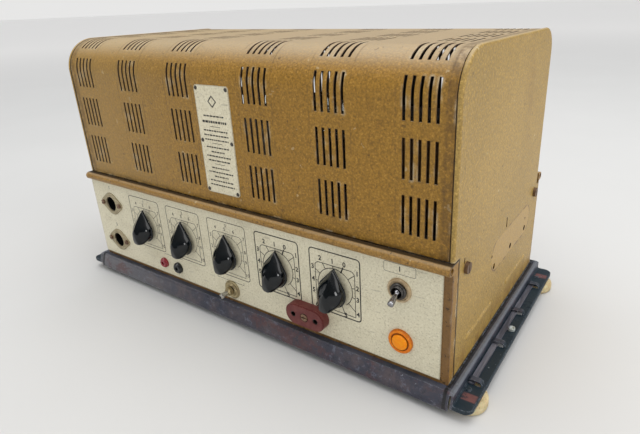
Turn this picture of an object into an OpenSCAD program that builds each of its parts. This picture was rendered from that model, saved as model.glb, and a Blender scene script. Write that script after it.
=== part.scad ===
// Valve public-address amplifier: perforated hood over a controls frame on a pressed steel tray.
// X runs left to right along the front, Y runs from the front to the back, Z is up.
// The origin is at floor level, under the middle of the whole object.

/* [Cabinet] */
// Width of the cabinet over its end caps
cab_w = 420; // [410:1:430]
// Depth from the scale plate's face to the rear frame's face
cab_d = 216; // [212:1:222]
// Height of the hood's roof above the tray
roof_h = 234; // [230:1:240]
// Height of the joint between the lower frame and the hood, above the tray
split_h = 99; // [98.5:0.5:100]
// Radius of the hood's long front bend
front_bend_r = 30; // [28:1:32]
// Radius of the hood's rear bend
rear_bend_r = 20; // [18:1:22]
// Thickness of the hood's sheet steel
sheet_t = 1; // [0.8:0.1:1.2]

/* [Ventilation slots] */
// Columns of slots on each side of the middle
slot_columns = 3; // [2:1:3]
// Slots in one group
slots_per_group = 5; // [3:1:5]
// Rows of groups, counted along the sheet from the front's lower edge over the roof
slot_rows = 11; // [4:1:11]
// Width of a slot
slot_w = 2.2; // [1.8:0.1:2.6]
// Length of a slot along the sheet
slot_l = 28; // [24:1:30]
// Distance between neighbouring slots of a group
slot_pitch = 5.8; // [5:0.1:6]
// Distance between rows along the sheet
row_pitch = 39; // [36:0.5:39]
// Distance between columns on one side
column_pitch = 69.5; // [66:0.5:70]
// Distance from the middle to the first column
first_column = 44.2; // [42:0.1:46]

/* [Base] */
// How far the tray's flanges stand out beyond the cabinet at each side
flange_out = 21.5; // [20:0.5:24]
// Height of the tray
tray_h = 14.5; // [14:0.5:15]
// Gap between the floor and the tray's front rail
floor_gap = 6; // [5:0.5:8]
// Radius of a foot
foot_r = 15; // [13:0.5:16]

/* [Controls] */
// Distance between neighbouring control dials
dial_pitch = 59; // [57:0.5:60]
// Height of the control shafts above the tray
dial_h = 53; // [51:0.5:55]
// Where the pointers stand, clockwise from straight up
pointer_turn = 7; // [0:1:20]
// Radius of a knob's round part
knob_r = 13; // [12:0.1:14]
// Reach of a knob's pointer from the shaft
pointer_r = 19.5; // [18:0.5:21]
// Height of a knob
knob_h = 14; // [12:0.5:15]
// Angle of the switch lever below straight out
lever_tilt = 23; // [15:1:25]

/* [Chassis] */
// Height of the chassis top above the tray
chassis_h = 72; // [70:1:74]
// Thickness of the chassis steel
chassis_t = 1.5; // [1.2:0.1:1.6]

/* [Hidden] */
$fn = 48;
small = 0.01;

half_w = cab_w / 2;
lever_pivot_out = 2.5;
lever_l = 10.5;
lever_tip_r = 2.45;
knob_gap = 3.4;
front_out = knob_gap + knob_h;
cap_gap = 3.1;
fuse_cap_h = 9;
frame_inset = 0.2;
rear_out = cap_gap + fuse_cap_h - frame_inset;
face_y = round((front_out - rear_out - cab_d) / 2);
rear_y = face_y + cab_d;
base_z = floor_gap + tray_h;
roof_z = base_z + roof_h;
split_z = base_z + split_h;

// Scale plate, lower frame and rail
plate_t = 1;
plate_w = 414;
plate_low = 3.4;
plate_h = 87.2;
frame_t = 1.5;
frame_return = 9;
rail_h = 7.5;
rail_out = 5;
rear_rail_out = 7;
rail_gap = 0.5;

// Hood
hood_front = face_y + 3;
hood_rear = rear_y - 7.6;
cap_t = 1.2;
bead_r = 2;
bead_inset = 1.2;
cap_front_low = face_y + plate_t + frame_return + 0.6;
cap_rear_low = rear_y - frame_inset - frame_t - 0.1;
wrap_half = half_w - 2 * bead_r;
lip_w = 8;
front_flat = roof_h - front_bend_r;
front_arc = PI / 2 * front_bend_r;
roof_flat = hood_rear - hood_front - front_bend_r - rear_bend_r;
rear_arc = PI / 2 * rear_bend_r;
first_row = 112;

// Data plate on the hood's front, held by six pins
data_w = 39.5;
data_h = 93;
data_t = 0.8;
data_x = -2.3;
data_z = base_z + 155.5;
data_pin_spots = [for (sx = [-1, 1], k = [-1, 0, 1])
    [data_x + sx * (data_w / 2 - 2.4), data_z + k * (data_h / 2 - 2.6)]];

// Tray section
ledge_out = 7.4;
ledge_drop = 8.5;
tray_t = 1.6;
tray_front = face_y - 8;
tray_rear = rear_y + 7.6;
flange_top = base_z - ledge_drop;
lip_z = flange_top - 3;
plan_r = 7;
rail_end = 4.2;
foot_x = half_w + flange_out - 10.5;
foot_ys = [face_y + 14.5, face_y + 204];
foot_rise = lip_z - 0.2;
foot_boss = flange_top - tray_t - 0.2;

// Latch bars on the side flanges
bridge_x = half_w + 13.1;
bridge_ys = [for (i = [0:3]) face_y + 24.2 + i * 53.3];
bridge_l = 5;
bar_x = half_w + 8.6;
bar_w = 4.4;
bar_t = 1.2;
bar_y = bridge_ys[0] - 3.6;
bar_l = bridge_ys[3] - bridge_ys[0] + 7.2;
tab_y = face_y + 102;
tab_r = 3;

// Controls on the front, as [distance from the cabinet's left side, height above the tray]
first_dial = 88;
dial_xs = [for (i = [0:4]) first_dial + i * dial_pitch];
turns = [for (d = [0.6, -3, -4.5, 0, 0.3]) pointer_turn + d];
mic_spots = [[30.8, 66.5], [30.8, 23.8]];
red_tip_spot = [107.3, 16];
black_tip_spot = [128.8, 15.6];
earth_spot = [205, 14];
output_spot = [296.5, 19.5];
switch_spot = [381, 68.5];
lamp_spot = [382.4, 25.4];
shaft_r = 3;
bushing_r = 4.6;
hole_play = 0.2;
shaft_play = 0.05;
output_pin_gap = 23;
output_stem_r = 3.6;
fuse_r = 3;
knob_back = 3;
switch_thread_r = 4.9;
wall_in = plate_t + frame_t + chassis_t;

// Hood screws, holes in the end caps, as [distance behind the scale plate, height above the tray]
screw_spots = [[24.5, 86], [200, 84]];
handle_holes = [[90, 55.5], [133, 55.5], [176, 55.5]];
handle_hole_r = 2.6;
trim_holes = [[82.6, 67.4], [175.9, 65.7]];

// Chassis box
chassis_half = half_w - 8;
chassis_front = face_y + plate_t + frame_t;
chassis_rear = rear_y - frame_inset - frame_t;
top_z = base_z + chassis_h;

// Places of the parts on the chassis top
power_valve_spots = [[-80, 55], [-42, 55], [-4, 55], [34, 55]];
rectifier_spots = [[34, 10], [72, 66]];
preamp_valve_spots = [[-110, -70], [-70, -70], [-30, -70], [10, -70]];
capacitor_spots = [[-60, -14], [-14, -22], [52, -62]];
mains_iron = [[142, 22], [92, 86, 96]];
output_iron = [[-150, 20], [78, 74, 82]];
choke_iron = [[112, -72], [52, 36, 44]];

// Rear connectors, as [distance from the middle, height above the tray]
inlet_spot = [150, 40];
fuse_spot = [104, 44];
selector_spot = [52, 46];
strip_spot = [-70, 40];
strip_terminals = 6;
strip_pitch = 16;

// ---------- helpers ----------

// Puts a part on the front at a place measured from the cabinet's left side, its Z pointing out.
module on_front(spot, out = 0)
    translate([spot[0] - half_w, face_y - out, base_z + spot[1]]) rotate([90, 0, 0]) children();

// Puts a part on the rear at a place measured from the middle, its Z pointing out.
module on_rear(spot, out = 0)
    translate([spot[0], rear_y - frame_inset + out, base_z + spot[1]]) rotate([-90, 0, 0]) children();

// Puts a part on the chassis top.
module on_chassis(spot, up = 0)
    translate([spot[0], spot[1], top_z + up]) children();

// Extrudes a Y-Z outline along X between two places.
module along_x(x0, x1)
    translate([x0, 0, 0]) rotate([90, 0, 90]) linear_extrude(height = x1 - x0) children();

// Extrudes an X-Z outline along Y between two places.
module along_y(y0, y1)
    translate([0, y1, 0]) rotate([90, 0, 0]) linear_extrude(height = y1 - y0) children();

// Hole through the scale plate, the frame and the chassis wall.
module front_hole(spot, r)
    on_front(spot, 12) translate([0, 0, -30]) cylinder(r = r, h = 42);

// Holes for the two stems and the screw of the output socket.
module output_holes() {
    for (side = [-1, 1])
        front_hole([output_spot[0] + side * output_pin_gap / 2, output_spot[1]], output_stem_r + hole_play);
    front_hole(output_spot, 1.9);
}

module hexagon_prism(flats, h)
    cylinder(r = flats / sqrt(3), h = h, $fn = 6);

module pan_head_screw(head_r, head_h, shank_r, shank_l) {
    difference() {
        cylinder(r = head_r, h = head_h);
        translate([-head_r, -0.5, head_h - 0.8]) cube([2 * head_r, 1, 1]);
    }
    translate([0, 0, -shank_l]) cylinder(r = shank_r, h = shank_l + small);
}

// ---------- base ----------

// Tray section in X and Z: a ledge beside the cabinet, then a lower flange with a turned-down lip.
module tray_section(inner) {
    step = ledge_out - inner * tray_t;
    edge = flange_out - inner * tray_t;
    top = base_z - inner * tray_t;
    low = flange_top - inner * tray_t;
    lip = lip_z - inner;
    bend = 1.5;
    crease = 0.8;
    polygon([
        [-half_w - edge, lip], [-half_w - edge, low - crease], [-half_w - edge + crease, low],
        [-half_w - step - crease, low], [-half_w - step, low + crease],
        [-half_w - step, top - bend], [-half_w - step + bend, top],
        [half_w + step - bend, top], [half_w + step, top - bend],
        [half_w + step, low + crease], [half_w + step + crease, low],
        [half_w + edge - crease, low], [half_w + edge, low - crease], [half_w + edge, lip]]);
}

// Tray section in Y and Z: the front leans out towards its lower edge.
module tray_end_section(inner) {
    in = inner * tray_t;
    top = base_z - in;
    lip = lip_z - inner;
    polygon([
        [tray_front + in, lip], [tray_front + in, lip_z + 1],
        [face_y - 5.6 + in, top - 2], [face_y - 4 + in, top],
        [tray_rear - 2 - in, top], [tray_rear - in, top - 2], [tray_rear - in, lip]]);
}

// Tray seen from above, with rounded corners.
module tray_plan(inner) {
    in = inner * tray_t;
    x = half_w + flange_out - in;
    y0 = tray_front + in;
    y1 = tray_rear - in;
    r = plan_r - in;
    translate([-x + r, y0]) square([2 * (x - r), y1 - y0]);
    translate([-x, y0 + r]) square([2 * x, y1 - y0 - 2 * r]);
    for (sx = [-1, 1], y = [y0 + r, y1 - r])
        translate([sx * (x - r), y]) circle(r = r);
}

module tray_solid(inner)
    intersection() {
        along_y(tray_front - 1, tray_rear + 1) tray_section(inner);
        along_x(-half_w - flange_out - 1, half_w + flange_out + 1) tray_end_section(inner);
        linear_extrude(height = base_z + 1) tray_plan(inner);
    }

// Rail that carries the front or rear wall of the tray down between the side flanges.
module tray_rail(y0)
    translate([-half_w - rail_end, y0, floor_gap])
        cube([2 * (half_w + rail_end), tray_t, lip_z + 1 - floor_gap]);

// Gutter along the foot of the cabinet's side.
module tray_gutter()
    along_y(face_y - 0.5, rear_y + 0.5)
        polygon([[half_w + 0.15, base_z + 1], [half_w + 0.15, base_z - 1], [half_w + 2.2, base_z - 1],
            [half_w + 4, base_z], [half_w + 4, base_z + 1]]);

// Bridge pressed up out of the right flange, which a latch bar runs through.
module latch_bridge(y)
    translate([bridge_x, 0, flange_top]) along_y(y - bridge_l / 2, y + bridge_l / 2)
        polygon([[-5.3, -0.4], [-5.3, 1.8], [-4.6, 2.8], [-3.4, 3.4],
            [3, 3.4], [4.4, 2.7], [5.3, 1.4], [5.3, -0.4]]);

module latch_bridge_opening(y)
    translate([bridge_x, 0, flange_top]) along_y(y - bridge_l / 2 - 0.5, y + bridge_l / 2 + 0.5)
        polygon([[-4.7, -3], [-4.7, 1.5], [-4.2, 2.2], [-3.2, 2.6],
            [2.7, 2.6], [3.9, 2], [4.6, 1], [4.6, -3]]);

module base_tray()
    color("darkslategray")
    difference() {
        union() {
            difference() {
                tray_solid(0);
                tray_solid(1);
            }
            tray_rail(tray_front);
            tray_rail(tray_rear - tray_t);
            for (side = [0, 1], y = bridge_ys) mirror([side, 0, 0]) latch_bridge(y);
        }
        for (side = [0, 1]) mirror([side, 0, 0]) {
            tray_gutter();
            for (y = bridge_ys) latch_bridge_opening(y);
            translate([half_w + rail_end, tray_front - 1, floor_gap - 1]) cube([1.4, 6, tray_h - 1]);
            for (y = foot_ys) translate([foot_x, y, floor_gap]) cylinder(r = 2.2, h = tray_h);
        }
    }

module feet()
    color("antiquewhite")
    for (side = [-1, 1], y = foot_ys)
        translate([side * foot_x, y, 0])
            difference() {
                rotate_extrude() polygon([[0, 0], [foot_r - 1, 0], [foot_r, 1], [foot_r - 0.6, foot_rise],
                    [6.5, foot_rise], [6.5, foot_boss], [0, foot_boss]]);
                translate([0, 0, -small]) cylinder(r = 5, h = 3);
                cylinder(r = 2.1, h = base_z);
            }

// Rivets that hold the feet, headed below in the foot and above on the flange.
module foot_rivets()
    color("dimgray")
    for (side = [-1, 1], y = foot_ys)
        translate([side * foot_x, y, 0]) {
            translate([0, 0, 0.6]) cylinder(r = 4.4, h = 2.3);
            translate([0, 0, 2]) cylinder(r = 1.9, h = flange_top - 1);
            translate([0, 0, flange_top + 0.05]) cylinder(r1 = 2.6, r2 = 1.8, h = 1);
        }

// Flat bar that slides through the bridges of the right flange and is moved by its middle tab.
module latch_bar()
    color("slategray")
    translate([bar_x, 0, flange_top + 0.15]) {
        translate([0, bar_y, 0]) cube([bar_w, bar_l, bar_t]);
        translate([bar_w - small, tab_y - tab_r, 0]) cube([3.2, 2 * tab_r, bar_t]);
        translate([bar_w + 3.2 - small, tab_y, 0]) difference() {
            cylinder(r = tab_r, h = 2.2);
            translate([0, 0, bar_t]) cylinder(r1 = 1.4, r2 = 2.4, h = 1 + small);
        }
    }

module latch_bar_right() latch_bar();

module latch_bar_left() mirror([1, 0, 0]) latch_bar();

// ---------- lower body ----------

module valve_hole(spot, r)
    on_chassis(spot, -5) cylinder(r = r, h = 10);

// Ear that takes a hood screw in a slot open at the top.
module hood_ear(side, spot) {
    ear_w = 16;
    slot_r = 2.3;
    y = face_y + spot[0];
    z = base_z + spot[1];
    difference() {
        translate([side * (chassis_half + chassis_t / 2) - chassis_t / 2, y - ear_w / 2, top_z - 20])
            cube([chassis_t, ear_w, z + 7 - top_z + 20]);
        translate([side * chassis_half - 5, y, z]) rotate([0, 90, 0]) cylinder(r = slot_r, h = 10);
        translate([side * chassis_half - 5, y - slot_r, z]) cube([10, 2 * slot_r, 20]);
    }
}

module chassis()
    color("lightsteelblue")
    union() {
        difference() {
            translate([-chassis_half, chassis_front, base_z])
                cube([2 * chassis_half, chassis_rear - chassis_front, chassis_h]);
            translate([-chassis_half + chassis_t, chassis_front + chassis_t, base_z - small])
                cube([2 * (chassis_half - chassis_t), chassis_rear - chassis_front - 2 * chassis_t,
                    chassis_h - chassis_t]);
            front_hole(mic_spots[0], 9.4);
            front_hole(mic_spots[1], 9.4);
            for (x = dial_xs) front_hole([x, dial_h], bushing_r + hole_play);
            front_hole(red_tip_spot, 3.4);
            front_hole(black_tip_spot, 3.4);
            front_hole(earth_spot, 2.3);
            output_holes();
            front_hole(switch_spot, switch_thread_r + hole_play);
            translate([switch_spot[0] - half_w - 10, face_y + wall_in - small, top_z - chassis_t - 1])
                cube([20, 26, chassis_t + 2]);
            front_hole(lamp_spot, 7.2);
            for (s = power_valve_spots) valve_hole(s, 14.2);
            for (s = rectifier_spots) valve_hole(s, 14.2);
            for (s = preamp_valve_spots) valve_hole(s, 9.2);
            for (s = capacitor_spots) valve_hole(s, 6);
            on_rear(inlet_spot, 2) translate([-12, -8, -20]) cube([24, 16, 24]);
            on_rear(fuse_spot, 2) translate([0, 0, -20]) cylinder(r = 6.7, h = 24);
            on_rear(selector_spot, 2) translate([0, 0, -20]) cylinder(r = 12.2, h = 24);
            on_rear(strip_spot, 2) translate([-52, -5, -20]) cube([104, 10, 24]);
        }
        for (side = [-1, 1], s = screw_spots) hood_ear(side, s);
    }

// Holes that the controls need in the scale plate and the front frame.
module control_holes() {
    for (s = mic_spots) {
        front_hole(s, 9.4);
        for (dx = [-14, 14]) front_hole([s[0] + dx, s[1]], 1.6);
    }
    for (x = dial_xs) front_hole([x, dial_h], bushing_r + hole_play);
    front_hole(red_tip_spot, 3.4);
    front_hole(black_tip_spot, 3.4);
    front_hole(earth_spot, 2.3);
    output_holes();
    front_hole(switch_spot, switch_thread_r + hole_play);
    front_hole(lamp_spot, 7.2);
}

module front_frame() {
    y0 = face_y + plate_t;
    rail_z = split_z - rail_h / 2 - rail_gap;
    color("peru")
    difference() {
        union() {
            translate([-half_w, y0, base_z]) cube([cab_w, frame_t, split_h - rail_gap]);
            for (side = [-1, 1])
                translate([side * (half_w - frame_t / 2) - frame_t / 2, y0, base_z])
                    cube([frame_t, frame_return, split_h - rail_gap]);
            along_x(-half_w, half_w)
                union() {
                    translate([face_y - rail_out + rail_h / 2, rail_z]) circle(r = rail_h / 2);
                    translate([face_y - rail_out + rail_h / 2, rail_z - rail_h / 2])
                        square([rail_out + plate_t + frame_t - rail_h / 2, rail_h]);
                }
        }
        along_x(-half_w - 1, half_w + 1)
            translate([face_y - rail_out + rail_h / 2, rail_z]) circle(r = rail_h / 2 - 1.2);
        control_holes();
    }
}

module scale_plate()
    color("beige")
    difference() {
        translate([-half_w, face_y, base_z + plate_low]) cube([plate_w, plate_t, plate_h]);
        control_holes();
    }

module rear_frame() {
    y0 = rear_y - frame_inset - frame_t;
    rail_z = split_z - rail_h / 2 - rail_gap;
    rail_y = rear_y + rear_rail_out - rail_h / 2;
    color("peru")
    difference() {
        union() {
            translate([-half_w, y0, base_z]) cube([cab_w, frame_t, split_h - rail_gap]);
            translate([-half_w + cap_t + 0.4, hood_rear - 4, split_z - rail_gap - frame_t])
                cube([cab_w - 2 * cap_t - 0.8, y0 - hood_rear + 5, frame_t]);
            along_x(-half_w, half_w)
                union() {
                    translate([rail_y, rail_z]) circle(r = rail_h / 2);
                    translate([y0, rail_z - rail_h / 2]) square([rail_y - y0, rail_h]);
                }
        }
        along_x(-half_w - 1, half_w + 1) translate([rail_y, rail_z]) circle(r = rail_h / 2 - 1.2);
        on_rear(inlet_spot, 2) translate([-12, -8, -20]) cube([24, 16, 24]);
        on_rear(fuse_spot, 2) translate([0, 0, -20]) cylinder(r = 6.7, h = 24);
        on_rear(selector_spot, 2) translate([0, 0, -20]) cylinder(r = 12.2, h = 24);
        on_rear(strip_spot, 2) translate([-52, -5, -20]) cube([104, 10, 24]);
    }
}

// ---------- hood ----------

// Outline of the hood in Y and Z, drawn in from its outer skin by a distance.
module hood_outline(in, low) {
    f = front_bend_r - in;
    r = rear_bend_r - in;
    y0 = hood_front + in;
    y1 = hood_rear - in;
    z1 = roof_z - in;
    translate([y0, low]) square([y1 - y0, z1 - f - low]);
    translate([y0 + f, low]) square([y1 - y0 - f - r, z1 - low]);
    translate([y0 + f, low]) square([y1 - y0 - f, z1 - r - low]);
    translate([y0 + f, z1 - f]) circle(r = f, $fn = 96);
    translate([y1 - r, z1 - r]) circle(r = r, $fn = 96);
}

// Y and Z of a point that stands off the hood's skin, at a length along the sheet from the tray up.
function skin(s, off) =
    let (bend1 = front_flat, flat1 = bend1 + front_arc, bend2 = flat1 + roof_flat,
        flat2 = bend2 + rear_arc, a = (s - bend1) / front_arc * 90, b = (s - bend2) / rear_arc * 90)
    s < bend1 ? [hood_front - off, base_z + s]
    : s < flat1 ? [hood_front + front_bend_r - (front_bend_r + off) * cos(a),
        roof_z - front_bend_r + (front_bend_r + off) * sin(a)]
    : s < bend2 ? [hood_front + front_bend_r + s - flat1, roof_z + off]
    : s < flat2 ? [hood_rear - rear_bend_r + (rear_bend_r + off) * sin(b),
        roof_z - rear_bend_r + (rear_bend_r + off) * cos(b)]
    : [hood_rear + off, roof_z - rear_bend_r - (s - flat2)];

// Cuts one group of slots that starts at a length along the sheet.
module slot_group(column_x, s0)
    for (i = [0:slots_per_group - 1])
        let (x = column_x + (i - (slots_per_group - 1) / 2) * slot_pitch)
            along_x(x - slot_w / 2, x + slot_w / 2)
                polygon([skin(s0, 12), skin(s0 + slot_l, 12), skin(s0 + slot_l, -4), skin(s0, -4)]);

module hood_wrapper()
    color("darkgoldenrod")
    difference() {
        along_x(-wrap_half, wrap_half) difference() {
            hood_outline(0, split_z);
            hood_outline(sheet_t, split_z - 1);
        }
        for (side = [-1, 1], c = [0:slot_columns - 1], r = [0:slot_rows - 1])
            slot_group(side * (first_column + c * column_pitch), first_row + r * row_pitch);
        for (s = data_pin_spots) translate([s[0], hood_front - 2, s[1]])
            rotate([-90, 0, 0]) cylinder(r = 1, h = 6);
    }

// Rounded bead that runs along the curved edge of an end cap, centred on X = 0.
module cap_bead() {
    y0 = hood_front + bead_inset;
    y1 = hood_rear - bead_inset;
    z1 = roof_z - bead_inset;
    f = front_bend_r - bead_inset;
    r = rear_bend_r - bead_inset;
    translate([0, y0, split_z]) cylinder(r = bead_r, h = z1 - f - split_z);
    translate([0, y0 + f, z1 - f]) rotate([90, 0, 90]) rotate([0, 0, 90])
        rotate_extrude(angle = 90, $fn = 96) translate([f, 0]) circle(r = bead_r, $fn = 24);
    translate([0, y0 + f, z1]) rotate([-90, 0, 0]) cylinder(r = bead_r, h = y1 - y0 - f - r);
    translate([0, y1 - r, z1 - r]) rotate([90, 0, 90])
        rotate_extrude(angle = 90, $fn = 96) translate([r, 0]) circle(r = bead_r, $fn = 24);
    translate([0, y1, split_z]) cylinder(r = bead_r, h = z1 - r - split_z);
}

// Pressed stiffening rib, lying along Y on the outer face of an end cap.
module cap_rib(y0, y1, h) {
    r = 5;
    sink = 4;
    translate([-sink, y0, h]) rotate([-90, 0, 0]) cylinder(r = r, h = y1 - y0);
    for (y = [y0, y1]) translate([-sink, y, h]) sphere(r = r);
}

// End cap standing at X = 0 with its outer face towards +X.
module end_cap() {
    rib_h = base_z + 20.5;
    low = base_z + 0.4;
    difference() {
        union() {
            along_x(-cap_t, 0) union() {
                hood_outline(bead_inset, split_z);
                translate([cap_front_low, low])
                    square([hood_rear - bead_inset - cap_front_low, split_z - low + small]);
                translate([cap_front_low, low]) square([cap_rear_low - cap_front_low, split_h - 10]);
            }
            translate([-bead_r, 0, 0]) cap_bead();
            along_x(-bead_r - lip_w, -cap_t / 2) difference() {
                hood_outline(sheet_t, split_z + 1);
                hood_outline(2 * sheet_t, split_z);
            }
            intersection() {
                union() {
                    cap_rib(face_y + 36, face_y + 86, rib_h);
                    cap_rib(face_y + 130, face_y + 184, rib_h);
                }
                translate([-small, face_y, base_z]) cube([5, cab_d, 50]);
            }
        }
        for (s = screw_spots)
            translate([-20, face_y + s[0], base_z + s[1]]) rotate([0, 90, 0]) cylinder(r = 2.2, h = 30);
        for (s = handle_holes)
            translate([-20, face_y + s[0], base_z + s[1]]) rotate([0, 90, 0])
                cylinder(r = handle_hole_r, h = 30);
        for (s = trim_holes)
            translate([-20, face_y + s[0], base_z + s[1]]) rotate([0, 90, 0]) cylinder(r = 1.1, h = 30);
        translate([-cap_t - 1, face_y + 115.4, base_z + 80]) cube([cap_t + 2, 2, 9]);
        translate([-cap_t - 1, face_y + 20, base_z + 90]) cube([cap_t + 2, 1.6, 5]);
    }
}

module end_cap_right() color("burlywood") translate([half_w, 0, 0]) end_cap();

module end_cap_left() color("burlywood") translate([-half_w, 0, 0]) mirror([1, 0, 0]) end_cap();

module hood_screws()
    color("dimgray")
    for (side = [-1, 1], s = screw_spots)
        translate([side * (half_w + small), face_y + s[0], base_z + s[1]]) rotate([0, side * 90, 0])
            pan_head_screw(4.4, 2.6, 2, 9);

module data_plate() {
    corner_r = 3;
    color("ivory")
    difference() {
        union() {
            translate([data_x - data_w / 2 + corner_r, hood_front - data_t, data_z - data_h / 2])
                cube([data_w - 2 * corner_r, data_t, data_h]);
            translate([data_x - data_w / 2, hood_front - data_t, data_z - data_h / 2 + corner_r])
                cube([data_w, data_t, data_h - 2 * corner_r]);
            for (sx = [-1, 1], sz = [-1, 1])
                translate([data_x + sx * (data_w / 2 - corner_r), hood_front,
                    data_z + sz * (data_h / 2 - corner_r)])
                    rotate([90, 0, 0]) cylinder(r = corner_r, h = data_t);
        }
        for (s = data_pin_spots) translate([s[0], hood_front - 2, s[1]])
            rotate([-90, 0, 0]) cylinder(r = 1, h = 6);
    }
}

module data_plate_pins()
    color("black")
    for (s = data_pin_spots)
        translate([s[0], hood_front - data_t, s[1]]) rotate([90, 0, 0]) {
            translate([0, 0, -data_t - sheet_t - 1]) cylinder(r = 0.95, h = data_t + sheet_t + 1 + small);
            intersection() {
                translate([0, 0, -1]) sphere(r = 2);
                translate([-2, -2, 0]) cube([4, 4, 2]);
            }
        }

// ---------- dial controls ----------

// Knob with a pointer towards local +Y, its shaft along local Z.
module pointer_knob()
    color("black")
    difference() {
        translate([0, 0, knob_gap]) {
            hull() {
                translate([0, -knob_back, 0]) cylinder(r = knob_r, h = 1.1, $fn = 40);
                translate([0, pointer_r - 1, 0]) cylinder(r = 1, h = 1.1, $fn = 16);
            }
            hull() {
                translate([0, -knob_back, 0.8]) cylinder(r = knob_r - 0.6, h = 1.2, $fn = 40);
                translate([0, pointer_r - 1.6, 0.8]) cylinder(r = 0.9, h = 1.2, $fn = 16);
                for (side = [-1, 1])
                    translate([side * 3, -knob_back - knob_r + 3.4, knob_h - 3.2])
                        cylinder(r = 1.4, h = 0.8, $fn = 16);
                translate([0, -knob_back, knob_h - 3]) cylinder(r = 4.4, h = 0.8, $fn = 24);
                translate([0, -knob_back - 2, knob_h - 1]) cylinder(r = 2.4, h = 1, $fn = 24);
            }
        }
        translate([0, 0, knob_gap - small]) cylinder(r = shaft_r + small, h = 9);
        translate([0, 0, knob_gap - small]) cylinder(r = 8.5, h = 1.4);
    }

module knob_at(i) on_front([dial_xs[i], dial_h]) rotate([0, 0, -turns[i]]) pointer_knob();

module shaft_at(i)
    color("silver") on_front([dial_xs[i], dial_h]) rotate([0, 0, -turns[i]])
        translate([0, 0, -wall_in - 6]) cylinder(r = shaft_r, h = wall_in + 6 + knob_gap + 8);

module volume_knob_1() knob_at(0);
module volume_knob_2() knob_at(1);
module volume_knob_3() knob_at(2);
module bass_knob() knob_at(3);
module treble_knob() knob_at(4);
module volume_shaft_1() shaft_at(0);
module volume_shaft_2() shaft_at(1);
module volume_shaft_3() shaft_at(2);
module bass_shaft() shaft_at(3);
module treble_shaft() shaft_at(4);

module potentiometer_bodies()
    color("tan")
    for (x = dial_xs)
        on_front([x, dial_h]) difference() {
            union() {
                translate([0, 0, -wall_in - 12]) cylinder(r = 13, h = 12);
                translate([0, 0, -wall_in - 1]) cylinder(r = bushing_r, h = wall_in + 1 + 2.6);
                for (dx = [-6, 0, 6]) translate([dx - 1, -19, -wall_in - 7]) cube([2, 8, 1]);
            }
            translate([0, 0, -wall_in - 7]) cylinder(r = shaft_r + shaft_play, h = wall_in + 12);
        }

module potentiometer_nuts()
    color("gainsboro")
    for (x = dial_xs)
        on_front([x, dial_h]) difference() {
            hexagon_prism(13, 2.4);
            translate([0, 0, -small]) cylinder(r = bushing_r + small, h = 3);
        }

// ---------- mains switch ----------

module switch_body()
    color("saddlebrown")
    on_front(switch_spot) difference() {
        union() {
            translate([-9, -14, -wall_in - 24]) cube([18, 28, 24]);
            translate([0, 0, -wall_in - 1]) cylinder(r = switch_thread_r, h = wall_in + 1 + 5.2);
            for (dy = [-8, 8]) translate([-3, dy - 0.5, -wall_in - 32]) cube([6, 1, 9]);
        }
        translate([0, 0, -wall_in - 12]) cylinder(r = 3.6, h = wall_in + 12 + lever_pivot_out);
        translate([0, 0, lever_pivot_out - 1]) cylinder(r = 4.1, h = 12);
    }

module switch_nut()
    color("gray")
    on_front(switch_spot, 1) difference() {
        cylinder(r = 6.5, h = 2.4);
        translate([0, 0, -small]) cylinder(r = switch_thread_r + small, h = 4);
        for (a = [0:20:340]) rotate([0, 0, a]) translate([6.4, 0, 1.2]) cylinder(r = 0.4, h = 2);
    }

module switch_washer()
    color("rosybrown")
    on_front(switch_spot) difference() {
        rotate_extrude() polygon([[0, 0], [9.5, 0], [9.5, 1.1], [8.9, 1.7], [7.9, 1.7], [7.3, 1], [0, 1]]);
        translate([0, 0, -small]) cylinder(r = switch_thread_r + small, h = 2);
    }

module switch_lever()
    color("silver")
    on_front(switch_spot, lever_pivot_out) rotate([lever_tilt, 0, 0]) {
        sphere(r = 2.9);
        cylinder(r1 = 1.7, r2 = lever_tip_r, h = lever_l);
        translate([0, 0, lever_l]) sphere(r = lever_tip_r);
        translate([0, 0, -5.5]) cylinder(r = 1.1, h = 5.5);
        translate([-3.8, 0, 0]) rotate([0, 90, 0]) cylinder(r = 0.9, h = 7.6);
    }

// ---------- pilot lamp ----------

module lamp_lens()
    color("orange")
    on_front(lamp_spot) difference() {
        union() {
            rotate_extrude() polygon([[0, 0], [10, 0], [10, 1.3], [9.3, 2.3], [7.8, 2.5], [7.1, 1.7],
                [6.5, 1.8], [6.3, 2.8], [5.4, 3.3], [0, 3.6]]);
            translate([0, 0, -wall_in - 4]) cylinder(r = 7, h = wall_in + 4 + small);
        }
        translate([0, 0, -wall_in - 5]) cylinder(r = 5.6, h = wall_in + 6.4);
    }

module lamp_bulb()
    color("lightyellow")
    on_front(lamp_spot) {
        translate([0, 0, -3.4]) sphere(r = 4.2);
        translate([0, 0, -14]) cylinder(r = 4, h = 10.6);
    }

module lamp_holder()
    color("goldenrod")
    on_front(lamp_spot) difference() {
        translate([0, 0, -26]) cylinder(r = 5.4, h = 18);
        translate([0, 0, -14 - small]) cylinder(r = 4 + 0.1, h = 10);
    }

// ---------- sockets on the front ----------

module microphone_sockets()
    color("tan")
    for (s = mic_spots)
        on_front(s) difference() {
            union() {
                hull() {
                    cylinder(r = 12.4, h = 1.2, $fn = 64);
                    for (dx = [-14, 14]) translate([dx, 0, 0]) cylinder(r = 4, h = 1.2, $fn = 32);
                }
                translate([0, 0, -wall_in - 14]) cylinder(r = 9.2, h = wall_in + 14 + 1.6);
            }
            translate([0, 0, -wall_in - 7]) cylinder(r = 8, h = wall_in + 20);
            translate([0, 0, -wall_in - 12]) cylinder(r = 7, h = 6);
            for (dx = [-14, 14]) translate([dx, 0, -1]) cylinder(r = 1.5, h = 4);
        }

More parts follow.
